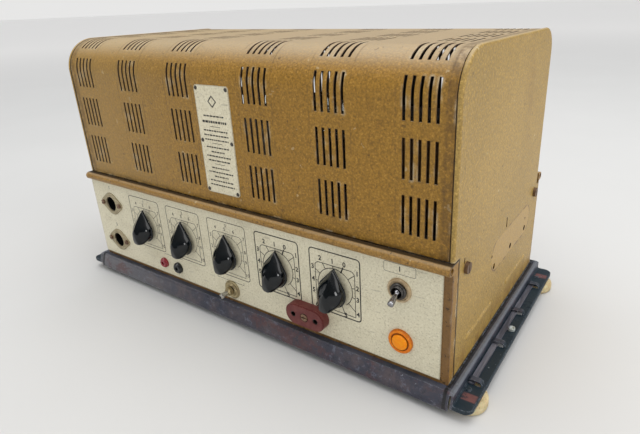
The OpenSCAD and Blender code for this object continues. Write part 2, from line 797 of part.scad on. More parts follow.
module microphone_inserts()
    color("black")
    for (s = mic_spots)
        on_front(s, -wall_in) difference() {
            translate([0, 0, -12 + small]) cylinder(r = 6.95, h = 4.9);
            for (a = [90, 210, 330]) rotate([0, 0, a]) translate([4, 0, -20]) cylinder(r = 1, h = 20);
        }

// Screws of the microphone sockets, the output socket and the speaker terminals.
module connector_screws()
    color("gray") {
        for (s = mic_spots, dx = [-14, 14])
            on_front([s[0] + dx, s[1]], 1.2 + small) pan_head_screw(2.6, 1.4, 1.4, 3.6);
        on_front(output_spot, 6.6 + small) pan_head_screw(3.4, 1.6, 1.6, 18);
        for (i = [0:strip_terminals - 1])
            on_rear(strip_spot + [(i - (strip_terminals - 1) / 2) * strip_pitch, 0], 6 + small)
                pan_head_screw(4.4, 2.6, 1.9, 14);
    }

// Insulated socket for a pin plug, with a nut behind the wall.
module tip_socket(ring_r)
    difference() {
        union() {
            rotate_extrude() polygon([[0, 0], [ring_r, 0], [ring_r, 2], [ring_r - 1.4, 3.6], [0, 3.6]]);
            translate([0, 0, -wall_in - 14]) cylinder(r = 3.2, h = wall_in + 14 + small);
            translate([0, 0, -wall_in - 3]) hexagon_prism(9, 3);
        }
        translate([0, 0, -wall_in - 10]) cylinder(r = 2, h = wall_in + 20);
    }

module red_tip_socket() color("firebrick") on_front(red_tip_spot) tip_socket(5.2);
module black_tip_socket() color("black") on_front(black_tip_spot) tip_socket(5.8);

module earth_post()
    color("silver")
    on_front(earth_spot) {
        translate([0, 0, -wall_in - 8]) cylinder(r = 2.1, h = wall_in + 8 + 13);
        for (a = [0, 90]) rotate([0, 0, a]) translate([-2.8, -0.7, 12.4]) cube([5.6, 1.4, 1.6]);
        translate([0, 0, -wall_in - 3]) difference() {
            hexagon_prism(8, 3);
            cylinder(r = 2.1, h = 3);
        }
    }

module earth_washer()
    color("darkkhaki")
    on_front(earth_spot) difference() {
        rotate_extrude() polygon([[2.3, 0], [9.2, 0], [9.2, 0.8], [8.4, 1.4], [7.4, 0.9], [6, 0.9],
            [5, 2.2], [2.3, 2.2]]);
        translate([0, 0, -1]) cylinder(r = 2.2, h = 4);
    }

module earth_thumb_nut()
    color("darkkhaki")
    on_front(earth_spot, 3) difference() {
        union() {
            cylinder(r = 4.2, h = 3);
            translate([0, 0, 3 - small]) cylinder(r1 = 3.6, r2 = 2.9, h = 1.6);
        }
        translate([0, 0, -1]) cylinder(r = 2.1 + shaft_play, h = 10);
        for (a = [0:20:340]) rotate([0, 0, a]) translate([4.3, 0, -1]) cylinder(r = 0.4, h = 6);
    }

module output_socket() {
    l = 40;
    w = 20;
    color("brown")
    on_front(output_spot) difference() {
        union() {
            translate([-(l - w) / 2, -w / 2, 0]) cube([l - w, w, 7]);
            for (side = [-1, 1]) translate([side * (l - w) / 2, 0, 0]) cylinder(r = w / 2, h = 7);
            translate([-(l - w) / 2, -w / 2 + 1, 7 - small]) cube([l - w, w - 2, 1]);
            for (side = [-1, 1])
                translate([side * (l - w) / 2, 0, 7 - small]) cylinder(r = w / 2 - 1, h = 1);
            for (side = [-1, 1])
                translate([side * output_pin_gap / 2, 0, -wall_in - 5])
                    cylinder(r = output_stem_r, h = wall_in + 5 + small);
        }
        for (side = [-1, 1])
            translate([side * output_pin_gap / 2, 0, -wall_in - 4]) cylinder(r = 2.6, h = 20);
        translate([0, 0, -20]) cylinder(r = 1.7, h = 40);
        translate([0, 0, 6.6]) cylinder(r = 4, h = 4);
    }
}

module output_socket_contacts()
    color("gold")
    on_front(output_spot) for (side = [-1, 1])
        translate([side * output_pin_gap / 2, 0, -wall_in]) difference() {
            translate([0, 0, -4 + small]) cylinder(r = 2.59, h = wall_in + 11.5);
            translate([0, 0, -2]) cylinder(r = 2, h = wall_in + 12);
        }

// ---------- rear connectors ----------

module mains_inlet()
    color("black")
    on_rear(inlet_spot) difference() {
        union() {
            translate([-17, -12, 0]) cube([34, 24, 3]);
            translate([-11.8, -7.8, -16]) cube([23.6, 15.6, 16 + 9]);
        }
        translate([-9.8, -5.8, -6]) cube([19.6, 11.6, 20]);
        for (dx = [-5, 5]) translate([dx, 0, -17]) cylinder(r = 1.95, h = 20);
    }

module mains_inlet_pins()
    color("gold")
    on_rear(inlet_spot) for (dx = [-5, 5]) translate([dx, 0, -20]) cylinder(r = 1.9, h = 26);

module fuse_holder()
    color("black")
    on_rear(fuse_spot) difference() {
        union() {
            cylinder(r = 9, h = 3);
            translate([0, 0, -24]) cylinder(r = 6.5, h = 24 + small);
        }
        translate([0, 0, -20]) cylinder(r = 4.5 + shaft_play, h = 30);
    }

module fuse_cap()
    color("dimgray")
    on_rear(fuse_spot, cap_gap) difference() {
        union() {
            cylinder(r = 7.6, h = fuse_cap_h);
            translate([0, 0, -8]) cylinder(r = 4.5, h = 8 + small);
        }
        for (a = [0:30:330]) rotate([0, 0, a]) translate([7.9, 0, 1]) cylinder(r = 0.8, h = fuse_cap_h);
        translate([-5, -0.7, fuse_cap_h - 1]) cube([10, 1.4, 2]);
        translate([0, 0, -9]) cylinder(r = fuse_r + shaft_play, h = 6);
    }

module fuse_cartridge()
    color("gainsboro")
    on_rear(fuse_spot, cap_gap) translate([0, 0, -22]) cylinder(r = fuse_r, h = 18.5);

module voltage_selector_base()
    color("saddlebrown")
    on_rear(selector_spot) difference() {
        union() {
            cylinder(r = 16, h = 2.4);
            translate([0, 0, -14]) cylinder(r = 12, h = 14 + small);
        }
        translate([0, 0, -10]) cylinder(r = 3 + shaft_play, h = 16);
        for (dx = [-14, 14]) translate([dx, 0, -1]) cylinder(r = 1.2, h = 5);
    }

module voltage_selector_dial()
    color("black")
    on_rear(selector_spot, 2.5) difference() {
        union() {
            cylinder(r = 11, h = 4);
            translate([0, 0, -9]) cylinder(r = 3, h = 9 + small);
            translate([-1.6, -10, 3.9]) cube([3.2, 20, 5]);
        }
        for (a = [0:60:300]) rotate([0, 0, a]) translate([11.4, 0, -1]) cylinder(r = 1.2, h = 6);
    }

module speaker_terminal_strip()
    color("sienna")
    on_rear(strip_spot) difference() {
        union() {
            translate([-54, -11, 0]) cube([108, 22, 6]);
            translate([-51, -4, -12]) cube([102, 8, 12 + small]);
            for (i = [0:strip_terminals])
                translate([(i - strip_terminals / 2) * strip_pitch - 1, -11, 6 - small]) cube([2, 22, 4]);
        }
        for (i = [0:strip_terminals - 1])
            translate([(i - (strip_terminals - 1) / 2) * strip_pitch, 0, -14]) cylinder(r = 2, h = 24);
    }

// ---------- on the chassis ----------

// Transformer of stacked plates with a winding that stands out at the front and back.
module iron_core(size, winding_out) {
    w = size[0];
    d = size[1];
    h = size[2];
    foot = 10;
    translate([-w / 2, -d / 4, 0]) cube([w, d / 2, h]);
    for (side = [-1, 1])
        translate([side * (w / 2 + foot / 2) - (foot + 2) / 2, -d / 4, 0]) difference() {
            cube([foot + 2, d / 2, 2]);
            translate([(foot + 2) / 2, d / 4, -1]) cylinder(r = 2.2, h = 4);
        }
    translate([-w / 2 + 12, -d / 2, 10]) cube([w - 24, d, h - 20]);
    translate([-w / 2 + 8, -d / 2 + winding_out, 8]) cube([w - 16, 1.5, h - 16]);
    translate([-w / 2 + 8, d / 2 - winding_out - 1.5, 8]) cube([w - 16, 1.5, h - 16]);
}

module mains_transformer()
    color("darkslategray") on_chassis(mains_iron[0]) iron_core(mains_iron[1], 3);

module output_transformer()
    color("darkslategray") on_chassis(output_iron[0]) iron_core(output_iron[1], 3);

module smoothing_choke()
    color("darkslategray") on_chassis(choke_iron[0]) iron_core(choke_iron[1], 2);

module filter_capacitors()
    color("lightgray")
    for (s = capacitor_spots)
        on_chassis(s) {
            rotate_extrude() polygon([[0, 0], [17, 0], [17, 4], [16.2, 5], [16.2, 76],
                [17, 77], [17, 79], [15, 80], [0, 80]]);
            translate([0, 0, -12]) cylinder(r = 5.8, h = 12 + small);
        }

// Glass valve on a moulded base, standing in its socket.
module big_valve(bulb_r, bulb_h)
    rotate_extrude() polygon(concat(
        [[0, 4.2], [16, 4.2], [17, 6], [17, 24], [16, 26], [bulb_r, 30], [bulb_r, 26 + bulb_h - bulb_r]],
        [for (a = [15:15:75]) [bulb_r * cos(a), 26 + bulb_h - bulb_r + bulb_r * sin(a)]],
        [[0, 26 + bulb_h]]));

module power_valves()
    color("lightcyan") for (s = power_valve_spots) on_chassis(s) big_valve(15.5, 76);

module rectifier_valves()
    color("lightcyan") for (s = rectifier_spots) on_chassis(s) big_valve(15, 56);

module preamp_valves()
    color("lightcyan") for (s = preamp_valve_spots) on_chassis(s)
        rotate_extrude() polygon(concat([[0, 3.2], [10.6, 3.2], [10.6, 40]],
            [for (a = [15:15:75]) [10.6 * cos(a), 40 + 10.6 * sin(a)]], [[1.6, 50.6], [0.8, 54], [0, 54]]));

// Valve socket with its contact ring below the chassis.
module socket(flange_r, body_r, h)
    difference() {
        union() {
            cylinder(r = flange_r, h = h);
            translate([0, 0, -14]) cylinder(r = body_r, h = 14 + small);
        }
        translate([0, 0, -8]) cylinder(r = body_r / 3, h = 20);
        for (a = [0:45:315]) rotate([0, 0, a]) translate([body_r * 0.65, 0, -10]) cylinder(r = 1.1, h = 20);
    }

module valve_sockets()
    color("saddlebrown") {
        for (s = concat(power_valve_spots, rectifier_spots)) on_chassis(s) socket(17.5, 14, 4);
        for (s = preamp_valve_spots) on_chassis(s) socket(12, 9, 3);
    }

base_tray();
feet();
foot_rivets();
latch_bar_left();
latch_bar_right();
chassis();
front_frame();
scale_plate();
rear_frame();
hood_wrapper();
end_cap_left();
end_cap_right();
data_plate();
data_plate_pins();
hood_screws();
volume_knob_1();
volume_knob_2();
volume_knob_3();
bass_knob();
treble_knob();
volume_shaft_1();
volume_shaft_2();
volume_shaft_3();
bass_shaft();
treble_shaft();
potentiometer_bodies();
potentiometer_nuts();
switch_body();
switch_nut();
switch_washer();
switch_lever();
lamp_lens();
lamp_bulb();
lamp_holder();
microphone_sockets();
microphone_inserts();
connector_screws();
red_tip_socket();
black_tip_socket();
earth_post();
earth_washer();
earth_thumb_nut();
output_socket();
output_socket_contacts();
mains_inlet();
mains_inlet_pins();
fuse_holder();
fuse_cap();
fuse_cartridge();
voltage_selector_base();
voltage_selector_dial();
speaker_terminal_strip();
mains_transformer();
output_transformer();
smoothing_choke();
filter_capacitors();
power_valves();
preamp_valves();
rectifier_valves();
valve_sockets();
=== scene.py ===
# Valve public-address amplifier: looks, print, lamps, valves, light and camera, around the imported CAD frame.
import math
import random

import bmesh
import bpy
from mathutils import Matrix, Vector


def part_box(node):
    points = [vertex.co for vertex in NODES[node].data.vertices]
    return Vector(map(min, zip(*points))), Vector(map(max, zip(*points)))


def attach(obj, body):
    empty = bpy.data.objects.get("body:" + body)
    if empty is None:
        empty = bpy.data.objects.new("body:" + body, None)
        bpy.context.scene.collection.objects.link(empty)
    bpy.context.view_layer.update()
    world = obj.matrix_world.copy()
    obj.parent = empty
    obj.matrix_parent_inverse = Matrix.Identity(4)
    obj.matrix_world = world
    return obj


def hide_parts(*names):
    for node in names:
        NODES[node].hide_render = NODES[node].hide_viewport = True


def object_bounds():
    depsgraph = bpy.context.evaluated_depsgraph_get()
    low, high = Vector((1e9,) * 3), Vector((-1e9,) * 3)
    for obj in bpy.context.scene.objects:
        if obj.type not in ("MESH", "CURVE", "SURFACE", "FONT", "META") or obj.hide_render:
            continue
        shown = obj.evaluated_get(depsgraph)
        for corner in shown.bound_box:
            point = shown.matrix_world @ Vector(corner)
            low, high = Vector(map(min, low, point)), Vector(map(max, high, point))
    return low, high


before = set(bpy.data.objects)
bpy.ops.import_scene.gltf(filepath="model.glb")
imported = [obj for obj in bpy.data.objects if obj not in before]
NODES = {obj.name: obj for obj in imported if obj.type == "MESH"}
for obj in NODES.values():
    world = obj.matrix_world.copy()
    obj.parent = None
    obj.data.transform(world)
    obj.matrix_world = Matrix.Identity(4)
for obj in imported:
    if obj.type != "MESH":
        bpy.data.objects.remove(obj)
CAD_LO, CAD_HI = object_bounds()
MM = 0.001
scene = bpy.context.scene
scene.view_settings.view_transform = "Standard"

# ---------- places, all taken from the frame ----------
PLATE_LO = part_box("scale_plate")[0]
CAB_LO, CAB_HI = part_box("front_frame")
HOOD_LO, HOOD_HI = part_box("hood_wrapper")
LEFT, FACE, BASE = CAB_LO.x, PLATE_LO.y, CAB_LO.z
RIGHT = CAB_HI.x


def sin_cos(degrees):
    a = math.radians(degrees)
    return math.sin(a), math.cos(a)


def centre(node):
    lo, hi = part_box(node)
    return (lo + hi) / 2


def front(x, z, out=0.0):
    """A point in mm from the cabinet's left side, above the tray and out from the front."""
    return Vector((LEFT + x * MM, FACE - out * MM, BASE + z * MM))


def front_at(p):
    """Local frame with +Z out of the front, +Y up and +X to the right."""
    m = Matrix(((1, 0, 0), (0, 0, -1), (0, 1, 0))).to_4x4()
    m.translation = p
    return m


# ---------- materials ----------
class Mat:
    """A node material built with short calls."""

    def __init__(self, name):
        self.m = bpy.data.materials.new(name)
        self.m.use_nodes = True
        self.t = self.m.node_tree
        self.t.nodes.clear()
        self.coord = self.add("TexCoord").outputs["Object"]
        self.geo = self.add("NewGeometry")
        self.out = self.add("OutputMaterial")
        self.b = self.add("BsdfPrincipled")
        self.t.links.new(self.b.outputs[0], self.out.inputs[0])

    def add(self, kind, **props):
        n = self.t.nodes.new("ShaderNode" + kind)
        for k, v in props.items():
            setattr(n, k, v)
        return n

    def put(self, socket, value):
        """Links a socket, or sets its value; a colour may come without its alpha."""
        if isinstance(value, bpy.types.NodeSocket):
            self.t.links.new(value, socket)
        elif isinstance(value, tuple) and len(value) == 3 and socket.type == "RGBA":
            socket.default_value = (*value, 1.0)
        else:
            socket.default_value = value

    def feed(self, node, **inputs):
        """Links or sets a node's inputs, named with underlines for spaces."""
        for k, v in inputs.items():
            self.put(node.inputs[k.replace("_", " ")], v)
        return node

    def set(self, **inputs):
        """Feeds the surface shader and returns the material."""
        self.feed(self.b, **inputs)
        return self.m

    def noise(self, scale, detail=3.0, rough=0.55, vec=None, distortion=0.0):
        n = self.feed(self.add("TexNoise"), Vector=vec or self.coord, Scale=scale, Detail=detail,
                      Roughness=rough, Distortion=distortion)
        return n.outputs["Fac"]

    def voronoi(self, scale):
        n = self.feed(self.add("TexVoronoi"), Vector=self.coord, Scale=scale)
        return n.outputs["Distance"]

    def stretch(self, x, y, z, move=(0, 0, 0)):
        return self.feed(self.add("Mapping"), Vector=self.coord, Scale=(x, y, z), Location=move).outputs[0]

    def band(self, value, lo, hi, a=0.0, b=1.0):
        """value mapped from lo..hi to a..b, clamped."""
        n = self.add("MapRange", interpolation_type="SMOOTHSTEP")
        for k, v in zip(range(5), (value, lo, hi, a, b)):
            self.put(n.inputs[k], v)
        return n.outputs[0]

    def patch(self, lo, hi, *noise):
        """Patches with soft edges: 1 where a noise is past hi, 0 where it is short of lo."""
        return self.band(self.noise(*noise), lo, hi)

    def math(self, op, a, b=0.0):
        n = self.add("Math", operation=op)
        self.put(n.inputs[0], a)
        self.put(n.inputs[1], b)
        return n.outputs[0]

    def plus(self, a, b):
        return self.math("ADD", a, b)

    def minus(self, a, b):
        return self.math("SUBTRACT", a, b)

    def times(self, a, b):
        return self.math("MULTIPLY", a, b)

    def gap(self, a, b):
        """How far two values are apart."""
        return self.math("ABSOLUTE", self.minus(a, b))

    def mix(self, fac, a, b):
        n = self.add("Mix", data_type="RGBA")
        self.put(n.inputs[0], fac)
        self.put(n.inputs[6], a)
        self.put(n.inputs[7], b)
        return n.outputs[2]

    def axis(self, i, vec=None):
        n = self.add("SeparateXYZ")
        self.put(n.inputs[0], vec or self.coord)
        return n.outputs[i]

    def normal(self, i):
        return self.axis(i, self.geo.outputs["Normal"])

    def far(self, place, axes):
        """Distance from a place, measured along the given axes only."""
        total = 0.0
        for i in axes:
            off = self.minus(self.axis(i), place[i])
            total = self.plus(total, self.times(off, off))
        return self.math("SQRT", total)

    def facing(self, direction):
        """Dot product of a direction with the face's own."""
        d = self.add("VectorMath", operation="DOT_PRODUCT")
        self.put(d.inputs[0], direction)
        self.put(d.inputs[1], self.geo.outputs["Normal"])
        return d.outputs["Value"]

    def inside(self, middle):
        """1 on faces that look towards a middle point, which are the hidden faces of a cover."""
        v = self.add("VectorMath", operation="SUBTRACT")
        self.put(v.inputs[0], self.coord)
        v.inputs[1].default_value = middle
        return self.band(self.facing(v.outputs[0]), -0.004, -0.02)

    def layer(self, base, mask, tint, amount=1.0):
        """Lays a tint over a base where mask is 1."""
        if amount != 1.0:
            mask = self.times(mask, amount)
        return self.mix(mask, base, tint)

    def both(self, *masks):
        """1 only where every mask is."""
        out = masks[0]
        for k in masks[1:]:
            out = self.times(out, k)
        return out

    def edge(self, reach):
        """About 1 at convex edges nearer than reach, from the bevel node."""
        n = self.add("Bevel", samples=6)
        n.inputs["Radius"].default_value = reach
        return self.band(self.facing(n.outputs[0]), 0.98, 0.8)

    def bump(self, height, strength, distance):
        return self.feed(self.add("Bump"), Strength=strength, Distance=distance, Height=height).outputs[0]


def srgb(*levels):
    """Linear colour from screen levels of 0 to 255."""
    return tuple(c / 255 / 12.92 if c <= 10 else ((c / 255 + 0.055) / 1.055) ** 2.4 for c in levels)


def wrinkle(m, tint, dust_and_sheen, wear, grime):
    """Colour and surface height of ochre paint: a fine wrinkle, dust and a painted sheen on top, worn and
    chipped edges.
    """
    dark, light = tuple(c * 0.46 for c in tint), tuple(min(1.0, c * 1.5 + 0.03) for c in tint)
    grain, fine = m.voronoi(520), m.noise(680, 3, 0.65)
    base = m.mix(m.patch(0.3, 0.7, 8, 4, 0.6), tint, tuple(c * 0.85 for c in tint))
    base = m.layer(base, m.band(m.noise(20, 4, 0.6, m.stretch(1, 1, 0.16)), 0.52, 0.78), dark, 0.3)
    base = m.layer(base, m.band(fine, 0.5, 0.32), dark, 0.7)
    base = m.layer(base, m.band(fine, 0.52, 0.68), light, 0.6)
    base = m.layer(base, m.band(grain, 0.3, 0.8), dark, 0.35)
    base = m.layer(base, m.patch(0.6, 0.72, 34, 6, 0.7), srgb(96, 62, 24), 0.5 * grime)
    # upward faces paler: partly dust, partly a painted sheen on the top
    base = m.layer(base, m.band(m.normal(2), 0.45, 0.97), srgb(194, 180, 154), dust_and_sheen)
    base = m.layer(base, m.patch(0.69, 0.74, 240, 2, 0.5), srgb(58, 38, 16), grime)
    base = m.layer(base, m.band(m.noise(130, 3, 0.5, m.stretch(1, 1, 1, (3, 5, 1))), 0.70, 0.73),
                   srgb(206, 190, 152), 0.5 * wear)
    chips = m.both(m.edge(0.0018), m.patch(0.48, 0.58, 170, 3, 0.6))
    base = m.layer(base, chips, srgb(78, 56, 34), wear)
    rub = m.both(m.edge(0.0034), m.patch(0.5, 0.66, 60, 3, 0.6))
    base = m.layer(base, rub, srgb(216, 204, 174), min(1.0, 0.75 * wear))
    height = m.plus(m.times(grain, 0.8), m.times(fine, 0.6))
    return base, height, m.band(fine, 0.3, 0.7, 0.36, 0.54)


def finish_paint(m, base, height, rough):
    return m.set(Base_Color=base, Roughness=rough, Coat_Weight=0.08, Coat_Roughness=0.4,
                 Specular_IOR_Level=0.35, Normal=m.bump(height, 0.5, 0.0005))


def hood_paint(tint):
    """Hood sheet: painted shade on its inside faces, bare slot walls, pressing lines beside the slot columns,
    a painted sheen towards the left and painted shade on the rounded end rims.
    """
    m = Mat("ochre_hood")
    base, height, rough = wrinkle(m, tint, 0.54, 0.7, 0.5)
    # paler towards the left end: a painted sheen
    base = m.layer(base, m.band(m.axis(0), 0.06, -0.2), srgb(184, 158, 106), 0.26)
    across = m.math("ABSOLUTE", m.axis(0))
    column, pitch, beside = 44.2 * MM, 69.5 * MM, 17.5 * MM
    turn = m.plus(m.minus(across, column), 0.5 * pitch)
    off = m.gap(m.math("MODULO", turn, pitch), 0.5 * pitch)
    line = m.band(m.gap(off, beside), 1.1 * MM, 0.0)
    base = m.layer(base, m.both(line, m.patch(0.4, 0.6, 40, 3)), srgb(88, 62, 28), 0.42)
    # darker speckled band at each end: painted shade of the sheet's rounded end rims
    end_rim_shade = m.band(across, HOOD_HI.x - 9 * MM, HOOD_HI.x - 5 * MM)
    end_rim_shade = m.both(end_rim_shade, m.patch(0.34, 0.56, 210, 4, 0.7))
    base = m.layer(base, end_rim_shade, srgb(84, 58, 22), 0.5)
    foot = m.band(m.axis(2), HOOD_LO.z + 5 * MM, HOOD_LO.z)
    foot = m.both(foot, m.patch(0.4, 0.6, 150, 4, 0.7))
    base = m.layer(base, foot, srgb(74, 50, 20), 0.6)
    wall = m.band(m.math("ABSOLUTE", m.normal(0)), 0.5, 0.8)
    middle = (0, (HOOD_LO.y + HOOD_HI.y) / 2, HOOD_LO.z + 30 * MM)
    # inside faces of the sheet painted near black: painted shade inside the cover
    hidden = m.both(m.inside(middle), m.minus(1.0, wall))
    base = m.layer(base, wall, srgb(84, 68, 56))
    base = m.layer(base, hidden, srgb(16, 13, 10))
    return finish_paint(m, base, height, rough)


def cap_paint(tint):
    """End cap: painted shade on its inside faces, with the outline that a removed handle plate left in the
    paint.
    """
    m = Mat("ochre_end_cap")
    base, height, rough = wrinkle(m, tint, 0.4, 1.0, 0.45)
    r, y0, y1, z = 14 * MM, FACE + 96 * MM, FACE + 176 * MM, BASE + 64 * MM
    along = m.math("MAXIMUM", m.minus(y0, m.axis(1)), m.minus(m.axis(1), y1))
    along = m.math("MAXIMUM", along, 0.0)
    rise = m.minus(m.axis(2), z)
    reach = m.math("SQRT", m.plus(m.times(along, along), m.times(rise, rise)))
    outline = m.both(m.band(m.gap(reach, r), 1.3 * MM, 0.2 * MM), m.patch(0.42, 0.56, 70, 3, 0.6))
    base = m.layer(base, m.band(reach, r, r - 1 * MM), srgb(196, 160, 104), 0.35)
    base = m.layer(base, outline, srgb(92, 60, 34), 0.75)
    stain = m.band(m.noise(16, 5, 0.7, m.stretch(1, 1, 0.5, (7, 2, 3))), 0.56, 0.74)
    base = m.layer(base, stain, srgb(132, 98, 52), 0.4)
    low = m.band(m.axis(2), BASE + 26 * MM, BASE + 4 * MM)
    low = m.both(low, m.patch(0.42, 0.6, 60, 5, 0.7))
    base = m.layer(base, low, srgb(120, 86, 44), 0.5)
    seam = m.band(m.axis(1), FACE + 13.5 * MM, FACE + 11 * MM)
    seam = m.both(seam, m.band(m.axis(2), HOOD_LO.z + 1 * MM, HOOD_LO.z - 1 * MM))
    base = m.layer(base, seam, srgb(46, 30, 14), 0.85)
    # inside faces darker: painted shade inside the cover
    middle = (0, (HOOD_LO.y + HOOD_HI.y) / 2, HOOD_LO.z)
    base = m.layer(base, m.inside(middle), srgb(64, 48, 26))
    return finish_paint(m, base, height, rough)


def frame_paint(tint):
    """Lower frame: the narrow strips beside the plate are browner, and a painted shadow lies along the rail's
    top, in the gap under the hood.
    """
    m = Mat("ochre_frame")
    base, height, rough = wrinkle(m, tint, 0.25, 1.1, 0.7)
    up, back = m.axis(2), m.axis(1)
    strip = m.band(up, CAB_HI.z - 7 * MM, CAB_HI.z - 9 * MM)
    strip = m.both(strip, m.band(back, FACE + 4 * MM, FACE + 2 * MM))
    base = m.layer(base, strip, srgb(106, 74, 38), 0.75)
    pits = m.both(strip, m.patch(0.55, 0.66, 190, 4, 0.7))
    base = m.layer(base, pits, srgb(30, 20, 12), 0.8)
    # near-black band on the frame's top where the hood overhangs: a painted shadow in the gap
    top = m.band(up, CAB_HI.z - 1.3 * MM, CAB_HI.z - 0.5 * MM)
    top = m.both(top, m.band(back, FACE - 2.6 * MM, FACE - 1 * MM))
    top = m.both(top, m.band(back, FACE + 40 * MM, FACE + 30 * MM))
    base = m.layer(base, top, srgb(24, 15, 8), 0.9)
    under = m.band(up, CAB_HI.z - 6.4 * MM, CAB_HI.z - 7.6 * MM)
    under = m.both(under, m.band(back, FACE, FACE - 0.5 * MM))
    base = m.layer(base, under, srgb(64, 42, 20), 0.8)
    return finish_paint(m, base, height, rough)


def slate_enamel():
    """Tray: slate on top, rusty purple-brown on its leaning front with a painted sheen towards the left, dark
    teal on the side flanges, painted shade in the gap by the cabinet and a painted highlight on the ledge's
    rim.
    """
    m = Mat("slate_enamel")
    fine = m.noise(420, 4, 0.65)
    broad = m.noise(34, 5, 0.65)
    base = m.mix(m.band(broad, 0.35, 0.65), srgb(48, 54, 66), srgb(78, 80, 92))
    face = m.band(m.normal(1), -0.25, -0.6)
    grit = m.noise(190, 4, 0.7)
    brown = m.mix(m.patch(0.40, 0.66, 46, 5, 0.7), srgb(48, 50, 64), srgb(78, 68, 72))
    brown = m.layer(brown, m.band(grit, 0.54, 0.66), srgb(104, 108, 122), 0.55)
    brown = m.layer(brown, m.band(grit, 0.44, 0.34), srgb(34, 34, 44), 0.7)
    # front paler towards the left end: a painted sheen
    brown = m.layer(brown, m.band(m.axis(0), -0.02, -0.2), srgb(132, 130, 132), 0.45)
    base = m.mix(face, base, brown)
    rust = m.band(m.noise(24, 6, 0.7, m.stretch(0.6, 1, 1)), 0.54, 0.62)
    rust = m.both(rust, m.band(grit, 0.36, 0.56))
    base = m.layer(base, m.both(rust, m.plus(m.times(face, 0.3), 0.25)), srgb(100, 66, 60))
    out = m.math("ABSOLUTE", m.axis(0))
    flange = m.band(out, RIGHT + 6.9 * MM, RIGHT + 7.7 * MM)
    flange = m.both(flange, m.band(m.axis(2), BASE - 4.6 * MM, BASE - 6.5 * MM))
    base = m.layer(base, flange, srgb(2, 30, 42), 0.94)
    # near-black strip beside the cabinet's side: painted shade in the gap between cabinet and ledge
    ledge_gap_shade = m.both(m.band(out, RIGHT + 2.6 * MM, RIGHT + 1.8 * MM), m.band(out, RIGHT - 1 * MM, RIGHT))
    base = m.layer(base, ledge_gap_shade, srgb(8, 8, 10), 0.95)
    # paler stripe on the ledge's rolled rim: a painted highlight
    ledge_rim_highlight = m.band(out, RIGHT + 3.6 * MM, RIGHT + 4.4 * MM)
    ledge_rim_highlight = m.both(ledge_rim_highlight, m.band(out, RIGHT + 7.6 * MM, RIGHT + 7.0 * MM))
    ledge_rim_highlight = m.both(ledge_rim_highlight, m.band(m.axis(2), BASE - 3 * MM, BASE - 1 * MM))
    base = m.layer(base, ledge_rim_highlight, srgb(112, 116, 122), 0.6)
    for y in (FACE + 7 * MM, FACE + 207 * MM):
        spot = m.band(m.far((0, y, 0), (1,)), 4.6 * MM, 3.2 * MM)
        across = m.band(m.gap(out, RIGHT + 14.5 * MM), 6.2 * MM, 4.6 * MM)
        patch = m.both(spot, across, m.patch(0.32, 0.5, 230, 4, 0.7))
        base = m.layer(base, patch, srgb(112, 70, 68), 0.9)
    # lighter bluish edges: wear, and a painted highlight along the edges
    worn = m.both(m.edge(0.0016), m.band(fine, 0.42, 0.6))
    base = m.layer(base, worn, srgb(134, 140, 150), 0.75)
    flecks = m.patch(0.68, 0.73, 330, 3, 0.6)
    base = m.layer(base, flecks, srgb(150, 158, 166), 0.5)
    rough = m.mix(rust, m.band(fine, 0.3, 0.7, 0.34, 0.52), (0.8, 0.8, 0.8))
    height = m.plus(m.times(rust, 0.6), m.times(fine, 0.35))
    return m.set(Base_Color=base, Roughness=rough, Metallic=0.1, Normal=m.bump(height, 0.35, 0.0004))


def latch_steel():
    """Sliding bar: greyed paint with scratches along it, bare and bright on the tab, where the near white is
    partly a painted glint.
    """
    m = Mat("latch_bar_steel")
    scratch = m.noise(420, 3, 0.6, m.stretch(1, 0.08, 1))
    base = m.mix(m.band(scratch, 0.35, 0.65), srgb(74, 76, 88), srgb(112, 112, 122))
    out = m.math("ABSOLUTE", m.axis(0))
    # near-white tab: bare metal, brightened further as a painted glint
    tab = m.band(out, RIGHT + 13.5 * MM, RIGHT + 16 * MM)
    base = m.layer(base, tab, srgb(196, 204, 200), 0.85)
    return m.set(Base_Color=base, Roughness=m.band(scratch, 0.3, 0.7, 0.34, 0.55), Metallic=0.35,
                 Normal=m.bump(scratch, 0.2, 0.0002))


def screw_metal():
    """Screw heads: browned on the front, brass on the rear."""
    m = Mat("screw_metal")
    n = m.noise(420, 4, 0.65)
    front_tint = m.mix(m.band(n, 0.35, 0.65), (0.30, 0.19, 0.12), (0.16, 0.10, 0.07))
    rear_tint = m.mix(m.band(n, 0.35, 0.65), (0.62, 0.48, 0.24), (0.34, 0.25, 0.12))
    base = m.mix(m.band(m.axis(1), -0.01, 0.01), front_tint, rear_tint)
    return m.set(Base_Color=base, Metallic=0.85, Roughness=m.band(n, 0.3, 0.7, 0.3, 0.5),
                 Normal=m.bump(n, 0.15, 0.0002))


